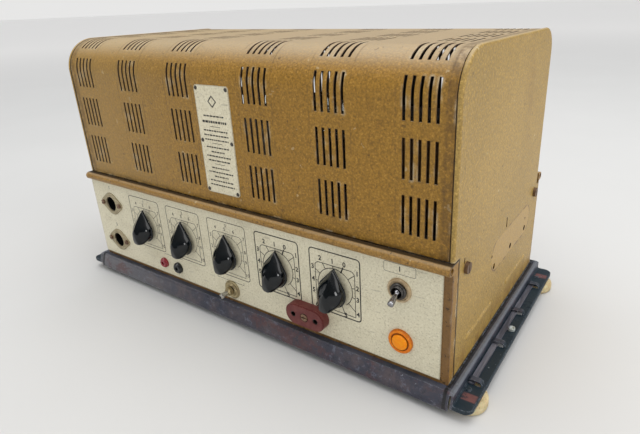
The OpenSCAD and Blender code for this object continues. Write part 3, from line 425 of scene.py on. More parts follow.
def printed_plate(name, tint, stain):
    """Matte cream plate with fine speckle, grime and small scratches."""
    m = Mat(name)
    broad = m.noise(14, 5, 0.6)
    base = m.mix(m.band(broad, 0.35, 0.7), tint, tuple(c * 0.9 for c in tint))
    cloud = m.patch(0.5, 0.75, 42, 5, 0.7)
    base = m.layer(base, cloud, stain, 0.35)
    speck = m.band(m.voronoi(420), 0.16, 0.10)
    keep = m.patch(0.48, 0.6, 90, 2, 0.5)
    base = m.layer(base, m.both(speck, keep), srgb(110, 100, 84), 0.55)
    dust = m.noise(620, 3, 0.7)
    base = m.layer(base, m.band(dust, 0.54, 0.68), srgb(150, 136, 104), 0.55)
    base = m.layer(base, m.band(dust, 0.46, 0.34), srgb(240, 234, 214), 0.5)
    scratch = m.band(m.noise(60, 2, 0.4, m.stretch(1.0, 1.0, 9.0), 0.4), 0.70, 0.73)
    base = m.layer(base, scratch, srgb(120, 112, 98), 0.3)
    base = m.layer(base, m.edge(0.002), srgb(120, 108, 88), 0.5)
    fine = m.noise(900, 2, 0.5)
    return m.set(Base_Color=base, Roughness=m.band(broad, 0.3, 0.7, 0.42, 0.58),
                 Normal=m.bump(fine, 0.12, 0.0002))


def moulding(name, tint, lit, rough=0.12, coat=0.5, mottle=0.35, shine=0.5, spread=0.18):
    """Polished moulded plastic with slight mottling and dust, and a painted highlight on its edges in the lit
    colour.
    """
    m = Mat(name)
    broad = m.noise(140, 5, 0.6)
    base = m.layer(tint, m.band(broad, 0.4, 0.7), lit, mottle)
    # edges lightened in the lit colour: a painted highlight on the rims
    base = m.layer(base, m.edge(0.0008), lit, 0.25)
    smear = m.noise(300, 4, 0.6)
    return m.set(Base_Color=base, Roughness=m.band(smear, 0.35, 0.75, rough, rough + spread),
                 Coat_Weight=coat, Coat_Roughness=0.06, Specular_IOR_Level=shine,
                 Normal=m.bump(smear, 0.05, 0.0002))


def metal(name, tint, rough, tarnish, amount, brushed=False):
    """Bare metal with duller, tarnished patches."""
    m = Mat(name)
    vec = m.stretch(1, 12, 1) if brushed else m.coord
    n = m.noise(260, 5, 0.65, vec)
    patch = m.patch(0.45, 0.7, 90, 4, 0.6)
    base = m.layer(tint, patch, tarnish, amount)
    return m.set(Base_Color=base, Metallic=m.band(patch, 0, 1, 1.0, 0.75),
                 Roughness=m.band(n, 0.3, 0.7, rough, rough + 0.2),
                 Normal=m.bump(n, 0.12, 0.0002))


def aged_rubber():
    m = Mat("aged_rubber")
    n = m.noise(120, 5, 0.65)
    base = m.mix(m.band(n, 0.35, 0.7), srgb(206, 188, 146), srgb(168, 146, 104))
    base = m.layer(base, m.patch(0.6, 0.7, 400, 3), srgb(110, 92, 66), 0.5)
    return m.set(Base_Color=base, Roughness=0.62, Subsurface_Weight=0.08,
                 Normal=m.bump(n, 0.25, 0.0004))


def ink(name, tint, fade):
    m = Mat(name)
    worn = m.patch(0.52, 0.7, 160, 4, 0.7)
    base = m.layer(tint, worn, srgb(180, 170, 148), fade)
    return m.set(Base_Color=base, Roughness=0.6)


def lamp_amber():
    """Amber lens: orange rim, yellower face and a dark crease between them."""
    m = Mat("amber_lens")
    ridges = m.noise(520, 2, 0.5)
    spread = m.far(centre("lamp_lens"), (0, 2))
    glow = m.mix(m.band(spread, 6.6 * MM, 6.2 * MM), srgb(214, 112, 20), srgb(240, 138, 0))
    glow = m.layer(glow, m.band(ridges, 0.45, 0.65), srgb(244, 164, 24), 0.4)
    crease = m.band(m.gap(spread, 6.85 * MM), 0.75 * MM, 0.25 * MM)
    glow = m.layer(glow, crease, srgb(96, 46, 8), 0.85)
    glow = m.layer(glow, m.band(spread, 9.2 * MM, 9.9 * MM), srgb(120, 64, 24), 0.45)
    return m.set(Base_Color=glow, Roughness=0.3, Specular_IOR_Level=0.25, Emission_Color=glow,
                 Emission_Strength=0.06, Normal=m.bump(ridges, 0.2, 0.0003))


def clear_glass():
    """Clear glass, a little uneven."""
    m = Mat("valve_glass")
    n = m.noise(70, 3, 0.5)
    base = m.layer((0.93, 0.95, 0.94), m.band(n, 0.4, 0.7), (0.6, 0.6, 0.58), 0.2)
    return m.set(Base_Color=base, Roughness=0.03, Transmission_Weight=1.0, IOR=1.25,
                 Normal=m.bump(n, 0.03, 0.001))


def core_iron():
    m = Mat("varnished_core")
    plates = m.add("TexWave", wave_type="BANDS", bands_direction="Y")
    m.feed(plates, Scale=260, Distortion=0.3, Vector=m.coord)
    n = m.noise(120, 5, 0.6)
    base = m.mix(m.band(n, 0.35, 0.7), srgb(40, 40, 44), srgb(62, 56, 50))
    base = m.layer(base, m.patch(0.6, 0.72, 60, 4, 0.6), srgb(104, 66, 44), 0.6)
    return m.set(Base_Color=base, Metallic=0.3, Roughness=m.band(n, 0.3, 0.7, 0.38, 0.6),
                 Normal=m.bump(plates.outputs["Fac"], 0.35, 0.0003))


def card(name, a, b, rough=0.55):
    m = Mat(name)
    n = m.noise(180, 5, 0.65)
    fibre = m.noise(500, 3, 0.6, m.stretch(1, 1, 6))
    base = m.mix(m.band(n, 0.35, 0.7), a, b)
    return m.set(Base_Color=base, Roughness=m.band(n, 0.3, 0.7, rough, rough + 0.15),
                 Normal=m.bump(fibre, 0.2, 0.0003))


M = {
    "hood": hood_paint(srgb(158, 116, 34)),
    "cap": cap_paint(srgb(177, 144, 74)),
    "frame": frame_paint(srgb(160, 120, 54)),
    "tray": slate_enamel(),
    "latch": latch_steel(),
    "screws": screw_metal(),
    "plate": printed_plate("cream_plate", srgb(222, 214, 186), srgb(188, 176, 144)),
    "badge": printed_plate("pale_plate", srgb(226, 217, 188), srgb(196, 184, 150)),
    "ink": ink("printed_ink", srgb(84, 78, 70), 0.45),
    "ink_bold": ink("printed_ink_bold", srgb(20, 18, 18), 0.08),
    "knob": moulding("black_moulding_polished", srgb(3, 7, 10), srgb(12, 22, 27), 0.07, 0.0, 0.3, 0.45,
                     0.06),
    "black": moulding("black_moulding", srgb(12, 14, 15), srgb(40, 44, 44), 0.24, 0.1),
    # near-black moulding of the microphone inserts, also used as painted shade on the walls and floor of the
    # socket holes
    "pit": moulding("black_insert_and_hole_shade", srgb(8, 8, 9), srgb(24, 22, 20), 0.5, 0.0, 0.3, 0.2),
    "red": moulding("red_moulding", srgb(132, 16, 34), srgb(180, 60, 70), 0.22, 0.3),
    "maroon": moulding("maroon_moulding", srgb(98, 44, 42), srgb(122, 68, 62), 0.38, 0.0, 0.7, 0.3),
    "steel": metal("plated_steel", (0.50, 0.49, 0.46), 0.28, (0.20, 0.16, 0.12), 0.4),
    "chrome": metal("dark_chrome", (0.30, 0.30, 0.32), 0.08, (0.12, 0.11, 0.10), 0.3),
    "dark_steel": metal("dark_steel", (0.09, 0.085, 0.08), 0.3, (0.05, 0.03, 0.02), 0.5),
    "rusty_steel": metal("rusty_steel", (0.22, 0.15, 0.10), 0.42, (0.12, 0.06, 0.03), 0.6),
    "brass": metal("tarnished_brass", (0.46, 0.38, 0.22), 0.34, (0.20, 0.15, 0.09), 0.6),
    "flange": metal("aged_flange", (0.46, 0.40, 0.27), 0.45, (0.30, 0.24, 0.15), 0.6),
    "washer": card("fibre_washer", srgb(192, 170, 134), srgb(158, 134, 100)),
    "chassis": metal("plated_chassis", (0.42, 0.42, 0.40), 0.36, (0.28, 0.26, 0.22), 0.4, True),
    "can": metal("aluminium_can", (0.46, 0.46, 0.45), 0.34, (0.30, 0.29, 0.27), 0.3),
    "rubber": aged_rubber(),
    "amber": lamp_amber(),
    "glass": clear_glass(),
    "plates": metal("grey_anode", (0.10, 0.10, 0.105), 0.5, (0.05, 0.05, 0.05), 0.4),
    "mica": card("mica_and_ceramic", srgb(168, 162, 148), srgb(140, 132, 114), 0.4),
    "base": moulding("valve_base", srgb(34, 20, 14), srgb(70, 46, 34), 0.25, 0.4),
    "core": core_iron(),
    "paper": card("winding_paper", srgb(130, 96, 56), srgb(100, 70, 40)),
    "board": card("phenolic_board", srgb(98, 62, 34), srgb(72, 44, 24), 0.35),
}


for key, nodes in {
    "hood": ["hood_wrapper"],
    "cap": ["end_cap_left", "end_cap_right"],
    "frame": ["front_frame", "rear_frame"],
    "tray": ["base_tray", "foot_rivets"],
    "plate": ["scale_plate"],
    "badge": ["data_plate"],
    "knob": ["volume_knob_1", "volume_knob_2", "volume_knob_3", "bass_knob", "treble_knob"],
    "black": ["black_tip_socket", "mains_inlet", "fuse_holder", "fuse_cap", "voltage_selector_dial"],
    # the output socket's contacts take dark steel as painted shade deep in the socket's holes
    "dark_steel": ["data_plate_pins", "switch_nut", "output_socket_contacts"],
    "rusty_steel": ["hood_screws"],
    "latch": ["latch_bar_left", "latch_bar_right"],
    "screws": ["connector_screws"],
    "pit": ["microphone_inserts"],
    "red": ["red_tip_socket"],
    "maroon": ["output_socket"],
    "steel": ["earth_post", "potentiometer_nuts", "volume_shaft_1", "volume_shaft_2", "volume_shaft_3",
              "bass_shaft", "treble_shaft"],
    "chrome": ["switch_lever"],
    "brass": ["earth_washer", "earth_thumb_nut", "mains_inlet_pins", "lamp_holder"],
    "flange": ["microphone_sockets"],
    "washer": ["switch_washer"],
    "chassis": ["chassis"],
    "can": ["filter_capacitors"],
    "rubber": ["feet"],
    "amber": ["lamp_lens"],
    "glass": ["lamp_bulb", "power_valves", "preamp_valves", "rectifier_valves", "fuse_cartridge"],
    "core": ["mains_transformer", "output_transformer", "smoothing_choke"],
    "board": ["potentiometer_bodies", "switch_body", "valve_sockets", "voltage_selector_base",
              "speaker_terminal_strip"],
}.items():
    for node in nodes:
        slots = NODES[node].data.materials
        slots.clear()
        slots.append(M[key])


# ---------- mesh helpers ----------
def piece(name, bm, key, at=None, smooth=35, bevel=0.0, replaces=(), body="cabinet"):
    """Makes a piece from a bmesh in metres; at is the frame that its points are in, if not the part's own."""
    me = bpy.data.meshes.new(name)
    if at is not None:
        bmesh.ops.transform(bm, matrix=at, verts=bm.verts)
    bmesh.ops.recalc_face_normals(bm, faces=bm.faces)
    bm.to_mesh(me)
    bm.free()
    o = bpy.data.objects.new(name, me)
    scene.collection.objects.link(o)
    for k in ([key] if isinstance(key, str) else key):
        me.materials.append(M[k])
    if bevel:
        b = o.modifiers.new("bevel", "BEVEL")
        b.width, b.segments, b.limit_method, b.angle_limit = bevel, 3, "ANGLE", math.radians(30)
        b.harden_normals = True
    if smooth:
        for p in me.polygons:
            p.use_smooth = True
        me.set_sharp_from_angle(angle=math.radians(smooth))
    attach(o, body)
    if replaces:
        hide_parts(*replaces)
    return o


def skin(bm, rings, closed=False):
    """Faces between each ring of points and the next; closed joins the last ring to the first."""
    for a, b in zip(rings, rings[1:] + rings[:1] * closed):
        for i in range(len(a)):
            j = (i + 1) % len(a)
            bm.faces.new((a[i], a[j], b[j], b[i]))


def lathe(bm, profile, steps=48, at=None, mat=0):
    """Solid of revolution about local Z from (radius, height) pairs in mm."""
    rings = []
    for r, z in profile:
        if r < 1e-6:
            rings.append([bm.verts.new((0, 0, z * MM))])
        else:
            ring = []
            for i in range(steps):
                a = math.tau * i / steps
                ring.append(bm.verts.new((r * MM * math.cos(a), r * MM * math.sin(a), z * MM)))
            rings.append(ring)
    for a, b in zip(rings, rings[1:]):
        for i in range(steps if len(a) + len(b) > 2 else 0):
            j = (i + 1) % steps
            if len(a) == 1:
                corners = (a[0], b[j], b[i])
            elif len(b) == 1:
                corners = (a[i], a[j], b[0])
            else:
                corners = (a[i], a[j], b[j], b[i])
            bm.faces.new(corners).material_index = mat
    verts = [v for ring in rings for v in ring]
    if at is not None:
        bmesh.ops.transform(bm, matrix=at, verts=verts)


def block(bm, lo, hi, at=None, mat=0):
    """Box between two corners in mm."""
    v = [bm.verts.new((x * MM, y * MM, z * MM)) for x in (lo[0], hi[0]) for y in (lo[1], hi[1])
         for z in (lo[2], hi[2])]
    for q in ((0, 1, 3, 2), (4, 6, 7, 5), (0, 4, 5, 1), (2, 3, 7, 6), (0, 2, 6, 4), (1, 5, 7, 3)):
        bm.faces.new([v[i] for i in q]).material_index = mat
    if at is not None:
        bmesh.ops.transform(bm, matrix=at, verts=v)


def ribbon(bm, pts, width, z0=0.02, z1=0.09, closed=False, mat=0):
    """Printed line through 2-D points in mm, as a thin closed strip."""
    n = len(pts)
    rows = []
    for i, p in enumerate(pts):
        a = Vector(pts[i - 1]) if (i or closed) else None
        c = Vector(pts[(i + 1) % n]) if (i < n - 1 or closed) else None
        b = Vector(p)
        d1 = (b - a).normalized() if a is not None else None
        d2 = (c - b).normalized() if c is not None else None
        d1, d2 = d1 or d2, d2 or d1
        t = (d1 + d2).normalized()
        s = Vector((-t.y, t.x)) * (width / 2 / max(0.5, t.dot(d1)))
        rows.append([bm.verts.new((q.x * MM, q.y * MM, z * MM)) for z in (z0, z1) for q in (b - s, b + s)])
    span = n if closed else n - 1
    for i in range(span):
        a, b = rows[i], rows[(i + 1) % n]
        for q in ((0, 1), (1, 3), (3, 2), (2, 0)):
            bm.faces.new((a[q[0]], a[q[1]], b[q[1]], b[q[0]])).material_index = mat
    if not closed:
        for r in (rows[0], rows[-1]):
            bm.faces.new((r[0], r[1], r[3], r[2])).material_index = mat


def rounded(x0, z0, x1, z1, r, steps=5):
    """Corner points of a rounded rectangle; r is a number or four, from the lower left, clockwise."""
    rs = [r] * 4 if not isinstance(r, tuple) else r
    pts = []
    for (cx, cz, start), q in zip(((x0, z0, 270), (x0, z1, 180), (x1, z1, 90), (x1, z0, 0)), rs):
        ox = cx + (q if cx == x0 else -q)
        oz = cz + (q if cz == z0 else -q)
        if q < 0.05:
            pts.append((cx, cz))
            continue
        for k in range(steps + 1):
            s, c = sin_cos(start - 90 * k / steps)
            pts.append((ox + q * c, oz + q * s))
    return pts


def numerals(bm, items, mat=0, weight=0.06):
    """Adds flat numbers: (text, x, z, size) in mm in the local frame."""
    for text, x, z, size in items:
        c = bpy.data.curves.new("numeral", "FONT")
        c.body, c.size, c.align_x, c.align_y = text, size * MM, "CENTER", "CENTER"
        c.extrude = 0.03 * MM
        c.resolution_u = 3
        c.offset = weight * MM
        t = bpy.data.objects.new("numeral", c)
        scene.collection.objects.link(t)
        bpy.context.view_layer.update()
        me = bpy.data.meshes.new_from_object(t.evaluated_get(bpy.context.evaluated_depsgraph_get()))
        me.transform(Matrix.Translation((x * MM, z * MM, 0.055 * MM)))
        before = len(bm.faces)
        bm.from_mesh(me)
        bm.faces.ensure_lookup_table()
        for f in bm.faces[before:]:
            f.material_index = mat
        bpy.data.objects.remove(t)
        bpy.data.curves.remove(c)
        bpy.data.meshes.remove(me)


# ---------- print on the scale plate ----------
# shaft, body and knob of each dial
DIALS = [("volume_shaft_%d" % k, "volume_%d_control" % k, "volume_knob_%d" % k) for k in (1, 2, 3)]
DIALS += [(k + "_shaft", k + "_control", k + "_knob") for k in ("bass", "treble")]
# degrees between a dial's lines and of its first line, and its arc's radius in mm
STEP, FIRST, ARC = 27.0, -139.0, 16.4


def spoke(k):
    """Angle of a scale's k-th line, clockwise from up, with its sine and cosine."""
    a = FIRST + STEP * k
    return (a, *sin_cos(a))


def on_box(angle, hw, top, low):
    """Distance from the dial's centre to a box around it, in the direction of an angle."""
    s, c = sin_cos(angle)
    across = hw / abs(s) if abs(s) > 1e-6 else 1e9
    upright = (top if c > 0 else low) / abs(c) if abs(c) > 1e-6 else 1e9
    return min(across, upright)


for i, (shaft, _, _) in enumerate(DIALS):
    p = centre(shaft)
    p.y = FACE
    bm = bmesh.new()
    # the two tone dials are printed darker, and count 6 to 0 to 5
    toned = i > 2
    tone, lines, size = (1, 12, 5.8) if toned else (0, 11, 4.8)
    thin, thick = (0.56, 0.95) if toned else (0.46, 0.66)
    ribbon(bm, rounded(-23.8, -24.6, 23.6, 29.8, 3.0), thick, closed=True, mat=tone)
    ribbon(bm, rounded(-18.6, -21.6, 18.8, 18.6, (0.2, 4.0, 4.0, 0.2)), thin, closed=True, mat=tone)
    ribbon(bm, [(ARC * s, ARC * c) for s, c in map(sin_cos, range(-139, 143, 8))], thin, mat=tone)
    for k in range(lines):
        a, s, c = spoke(k)
        far = min(on_box(a, 18.7, 18.6, 21.6), 27)
        if toned and k == 6:
            ribbon(bm, [(15.5 * s, 15.5 * c), (21.7 * s, 21.7 * c)], 1.1, mat=1)
        else:
            ribbon(bm, [(ARC * s, ARC * c), (far * s, far * c)], thin, mat=tone)
    marks = []
    for k in range(lines):
        a, s, c = spoke(k)
        far = on_box(a, 21.1, 22.3, 21.5 if toned else 23.0)
        x, z = max(-21.2, min(21.2, far * s)), max(-22.6, min(22.4, far * c))
        if k == 11:
            x, z = 9.5, -22.6
        marks.append((str(abs(k - 6)) if toned else str(k), x, z, size))
    numerals(bm, marks, tone, 0.16 if toned else 0.06)
    if not toned:
        numerals(bm, [(str(i + 1), 0, 26.2, 4.2)], 0)
    piece("dial_print_%d" % (i + 1), bm, ("ink", "ink_bold"), front_at(p), 0)

# numbers and lines beside the sockets and the switch
bm = bmesh.new()
numerals(bm, [("1", 30.8, 84.5, 4.4), ("2", 30.8, 42.0, 4.4), ("1", 381, 85.2, 5.6)], 0, 0.1)
ribbon(bm, rounded(368.2, 81.2, 393.6, 89.2, 1.4), 0.3, closed=True, mat=1)
ribbon(bm, [(109, 26.5), (137, 26.5)], 0.35)
ribbon(bm, [(187, 25.2), (187, 22.8), (221, 22.8), (221, 25.2)], 0.3)
piece("panel_marks", bm, ("ink_bold", "ink"), front_at(front(0, 0)), 0)

# data plate: a plain diamond over rows of short bars, no words
p = centre("data_plate")
lo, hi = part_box("data_plate")
p.y = lo.y
hw, hh = (hi.x - lo.x) / 2 / MM, (hi.z - lo.z) / 2 / MM
bm = bmesh.new()
rnd = random.Random(5)
z = hh - 25
ribbon(bm, [(-4.4, hh - 13), (0, hh - 8.6), (4.4, hh - 13), (0, hh - 17.4)], 0.9, closed=True)
for row in range(14):
    w = rnd.uniform(8.0, 14.5)
    if row in (2, 5, 9):
        ribbon(bm, [(-6, z + 1.0), (6, z + 1.0)], 0.35)
        z -= 2.6
    x = -w
    while x < w:
        step = rnd.uniform(1.2, 3.4)
        ribbon(bm, [(x, z), (min(x + step, w), z)], 1.9 if row == 1 else 1.15)
        x += step + 0.8
    z -= 4.9 if row < 2 else 3.9
piece("data_plate_rules", bm, "ink_bold", front_at(p), 0, body="hood")


# ---------- pointer knobs ----------
KNOB_R, KNOB_BACK, KNOB_TIP, KNOB_GAP, KNOB_TOP = 13.0, 3.0, 19.4, 3.5, 11.6
# half of the crest's outline, from its end nearest the tip
CREST = [(0, 6.5), (2.6, 2.6), (4.4, -0.4), (4.6, -3.0), (4.2, -10.6), (2.8, -12.3), (0, -12.7)]


def to_outline(angle, points):
    """Distance from the middle to a mirrored outline of (x, y) points, at an angle from +Y."""
    dx, dy = sin_cos(abs((angle + 180) % 360 - 180))
    for (x0, y0), (x1, y1) in zip(points, points[1:]):
        den = dx * (y1 - y0) - dy * (x1 - x0)
        if abs(den) < 1e-9:
            continue
        t = (x0 * (y1 - y0) - y0 * (x1 - x0)) / den
        k = (x0 * dy - y0 * dx) / den
        if t > 0 and -1e-6 <= k <= 1 + 1e-6:
            return t
    return abs(points[-1][1])


def knob_mesh():
    """Teardrop pointer knob: a thin skirt under a body that leans in to a narrow crest."""
    bm = bmesh.new()
    n = 96
    touch = math.degrees(math.acos(KNOB_R / (KNOB_TIP + KNOB_BACK)))

    def rows(angle):
        """Distance from the knob's middle and height of each row's point, at an angle from the tip."""
        off = abs((angle + 180) % 360 - 180)
        drop = KNOB_R if off >= touch else KNOB_R / math.cos(math.radians(touch - off))
        crest = to_outline(off, CREST)
        found = [(drop, 0.0), (drop + 0.1, 0.8), (drop - 0.3, 1.2), (drop - 0.8, 1.35)]
        low = drop - 0.9
        for k in range(9):
            t = k / 8
            belly = math.sin(math.pi * t) * (1.2 + 0.6 * min(1.0, off / 40))
            found.append((low + (crest - low) * t + belly, 1.7 + (KNOB_TOP - 1.7) * t))
        return found + [(crest * part, KNOB_TOP + z) for part, z in ((0.8, 0.8), (0.5, 1.5), (0.2, 1.9))]

    angles = [360 * i / n for i in range(n)]
    rings = []
    for row in zip(*(rows(a) for a in angles)):
        ring = []
        for a, (r, z) in zip(angles, row):
            s, c = sin_cos(a)
            ring.append(bm.verts.new((r * s * MM, (r * c - KNOB_BACK) * MM, (KNOB_GAP + z) * MM)))
        rings.append(ring)
    skin(bm, rings)
    bm.faces.new(rings[0])
    crown = bm.verts.new((0, -KNOB_BACK * MM, (KNOB_GAP + KNOB_TOP + 2) * MM))
    for i in range(n):
        bm.faces.new((rings[-1][i], rings[-1][(i + 1) % n], crown))
    return bm


for i, (shaft, body, knob) in enumerate(DIALS):
    p = centre(shaft)
    p.y = FACE
    # the pointer's turn, read from where the tip of the CAD knob stands
    tip = max(NODES[knob].data.vertices, key=lambda v: (v.co.x - p.x) ** 2 + (v.co.z - p.z) ** 2).co
    turn = math.atan2(tip.x - p.x, tip.z - p.z)
    at = front_at(p) @ Matrix.Rotation(-turn, 4, "Z")
    piece("pointer_knob_%d" % (i + 1), knob_mesh(), "knob", at, 32, 0, (knob,), body)


# ---------- small controls on the front ----------
def on_node(node):
    """Front frame at a node's centre, on the plate's face."""
    p = centre(node)
    p.y = FACE
    return front_at(p)


# switch: the lever's tilt is read from where the CAD lever's tip stands
bm = bmesh.new()
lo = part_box("switch_lever")[0]
pivot = centre("switch_nut")
pivot.y = FACE - 2.5 * MM
TIP_R = 2.45
tilt = math.atan2(pivot.z - lo.z - TIP_R * MM, pivot.y - lo.y - TIP_R * MM)
lathe(bm, [(0, -5.5), (1.1, -5.4), (1.1, -2.6), (2.1, -2.0), (2.8, -0.6), (2.9, 0.3), (2.4, 1.6), (1.9, 2.4),
           (1.85, 3.4), (2.05, 6), (2.35, 9.4), (TIP_R, 11), (2.42, 12), (2.2, 12.55), (1.5, 12.9),
           (0, 12.95)], 40)
piece("switch_bat_lever", bm, "chrome", front_at(pivot) @ Matrix.Rotation(tilt, 4, "X"), 40, 0,
      ("switch_lever",), "switch_toggle")

at = on_node("switch_nut")
bm = bmesh.new()
BUSH_H = 5.2
coil = [(4.85 - 0.22 * (k % 2), -4 + (BUSH_H + 3.4) * k / 26) for k in range(27)]
lathe(bm, [(4.1, 1.5), (4.1, BUSH_H - 0.2), (4.4, BUSH_H)] + coil[::-1]
      + [(4.8, -5.0), (3.6, -5.0), (3.6, 1.5), (4.1, 1.5)], 48)
piece("switch_bushing", bm, "dark_steel", at, 40)
bm = bmesh.new()
block(bm, (-9, -14, -28), (9, 14, -4.05))
for dy in (-8, 8):
    block(bm, (-3, dy - 0.5, -36), (3, dy + 0.5, -27.5), mat=1)
block(bm, (-9.4, -9, -24), (9.4, 9, -4.3), mat=1)
piece("switch_case", bm, ("board", "steel"), at, 35, 0.0006, ("switch_body",))
bm = bmesh.new()
lathe(bm, [(4.95, 1.05), (5.9, 1.05), (6.5, 1.4), (6.5, 2.8), (6.0, 3.3), (4.95, 3.35), (4.95, 1.05)], 48)
piece("switch_ring_nut", bm, "dark_steel", at, 30, 0, ("switch_nut",))

# pilot lamp: a low lens with a stepped face, and its stem behind the plate
bm = bmesh.new()
lathe(bm, [(0, 0.02), (10, 0.02), (10, 1.0), (9.8, 1.8), (9.2, 2.35), (8.3, 2.5), (7.6, 2.3), (7.1, 1.6),
           (6.6, 1.6), (6.4, 2.3), (6.2, 2.9), (5.6, 3.3), (3, 3.5), (0, 3.6)], 64)
lathe(bm, [(0, -8.2), (5.6, -8.2), (7.0, -8.0), (7.0, 0.01), (0, 0.01)], 48)
piece("pilot_lens", bm, "amber", on_node("lamp_lens"), 40, 0, ("lamp_lens",))

# microphone sockets: pressed oval flange with a rolled rim round the hole
MIC_R, MIC_HOLE = 12.4, 8.0
lo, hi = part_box("microphone_sockets")
mic_x = (lo.x + hi.x) / 2
mic_spots = [Vector((mic_x, FACE, hi.z - MIC_R * MM)), Vector((mic_x, FACE, lo.z + MIC_R * MM))]


def oval(r, ear, reach, n=72):
    """Outline of a disc of radius r with two rounded ears, as the convex shape round them."""
    lean = math.acos((r - ear) / reach)
    pts = []
    for i in range(n):
        a = math.tau * i / n
        c, s = math.cos(a), math.sin(a)
        best = r
        f = abs(math.atan2(s, abs(c)))
        if f < lean:
            best = r / math.cos(lean - f)
            if best * math.sin(f) < ear * math.sin(lean) and reach * abs(s) < ear:
                best = min(best, reach * abs(c) + math.sqrt(ear * ear - (reach * abs(s)) ** 2))
        pts.append((best * c, best * s))
    return pts


def plate_with_hole(bm, outline, hole_r, z0, z1, at, rim=0.4):
    """Flat plate between z0 and z1 with a round hole; its outer edge is cut back by rim at the top."""
    n = len(outline)
    rings = []
    for back, z in ((0.0, z0), (0.0, z1 - rim), (rim, z1)):
        kept = [1 - back / math.hypot(x, y) for x, y in outline]
        rings.append([bm.verts.new((x * k * MM, y * k * MM, z * MM)) for k, (x, y) in zip(kept, outline)])
    for r, z in ((hole_r + 1.5, z1), (hole_r + 0.9, z1 + 0.5), (hole_r + 0.2, z1 + 0.4), (hole_r, z1 - 0.2),
                 (hole_r, z0)):
        around = [math.tau * i / n for i in range(n)]
        rings.append([bm.verts.new((r * math.cos(a) * MM, r * math.sin(a) * MM, z * MM)) for a in around])
    skin(bm, rings, True)
    bmesh.ops.transform(bm, matrix=at, verts=[v for ring in rings for v in ring])


bm = bmesh.new()
for p in mic_spots:
    at = front_at(p)
    plate_with_hole(bm, oval(MIC_R, 4.0, 14.0), MIC_HOLE, 0.02, 1.2, at)
    # the hole's wall and floor take the near-black lining: painted shade inside the hole
    lathe(bm, [(MIC_HOLE, -11), (9.2, -11), (9.2, 0.01), (MIC_HOLE, 0.01), (MIC_HOLE, -11)], 48, at, 1)
    lathe(bm, [(0, -16), (9.2, -16), (9.2, -11.05), (0, -11.05)], 48, at, 1)
piece("microphone_flanges", bm, ("flange", "pit"), None, 35, 0,
      ("microphone_sockets",))

# feet
lo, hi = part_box("feet")
FOOT_R = 15
bm = bmesh.new()
for x in (lo.x + FOOT_R * MM, hi.x - FOOT_R * MM):
    for y in (lo.y + FOOT_R * MM, hi.y - FOOT_R * MM):
        lathe(bm, [(2.25, 3), (4.7, 3), (4.9, 0.4), (5.6, 0), (12.4, 0), (13.8, 0.35), (14.7, 1.3),
                   (FOOT_R, 2.8), (14.9, 6.8), (14.6, 7.9), (13.9, 8.6), (13, 8.75), (6.5, 8.75),
                   (6.5, 10.15), (2.25, 10.15), (2.25, 3)],
              56, Matrix.Translation((x, y, lo.z)))
piece("rubber_feet", bm, "rubber", None, 40, 0, ("feet",))

# ---------- on the chassis ----------
def spots(node):
    """Foot centre and height of each upright thing in a node, from loose parts that share an axis."""
    me = NODES[node].data
    parent = list(range(len(me.vertices)))

    def root(i):
        while parent[i] != i:
            parent[i] = parent[parent[i]]
            i = parent[i]
        return i

    for e in me.edges:
        a, b = root(e.vertices[0]), root(e.vertices[1])
        if a != b:
            parent[a] = b
    groups = {}
    for v in me.vertices:
        groups.setdefault(root(v.index), []).append(v.co)
    found = []
    for g in sorted(groups.values(), key=len, reverse=True):
        lo, hi = Vector(map(min, zip(*g))), Vector(map(max, zip(*g)))
        for f in found:
            if (lo + hi - f[0] - f[1]).xy.length < 24 * MM:
                f[0] = Vector(map(min, zip(f[0], lo)))
                f[1] = Vector(map(max, zip(f[1], hi)))
                break
        else:
            found.append([lo, hi])
    made = [(Vector((*((lo + hi) / 2).xy, lo.z)), hi.z - lo.z) for lo, hi in found]
    return sorted(made, key=lambda f: (round(f[0].y, 4), f[0].x))


def envelope(r, low, high):
    """Outline of a glass bulb with a domed top, as (radius, height) pairs in mm."""
    dome = 0.8 * r
    pts = [(r * 0.86, low), (r * 0.97, low + 2.5), (r, low + 7)]
    for s, c in map(sin_cos, range(0, 90, 10)):
        pts.append((r * c, high - dome + dome * s))
    return pts + [(0, high)]


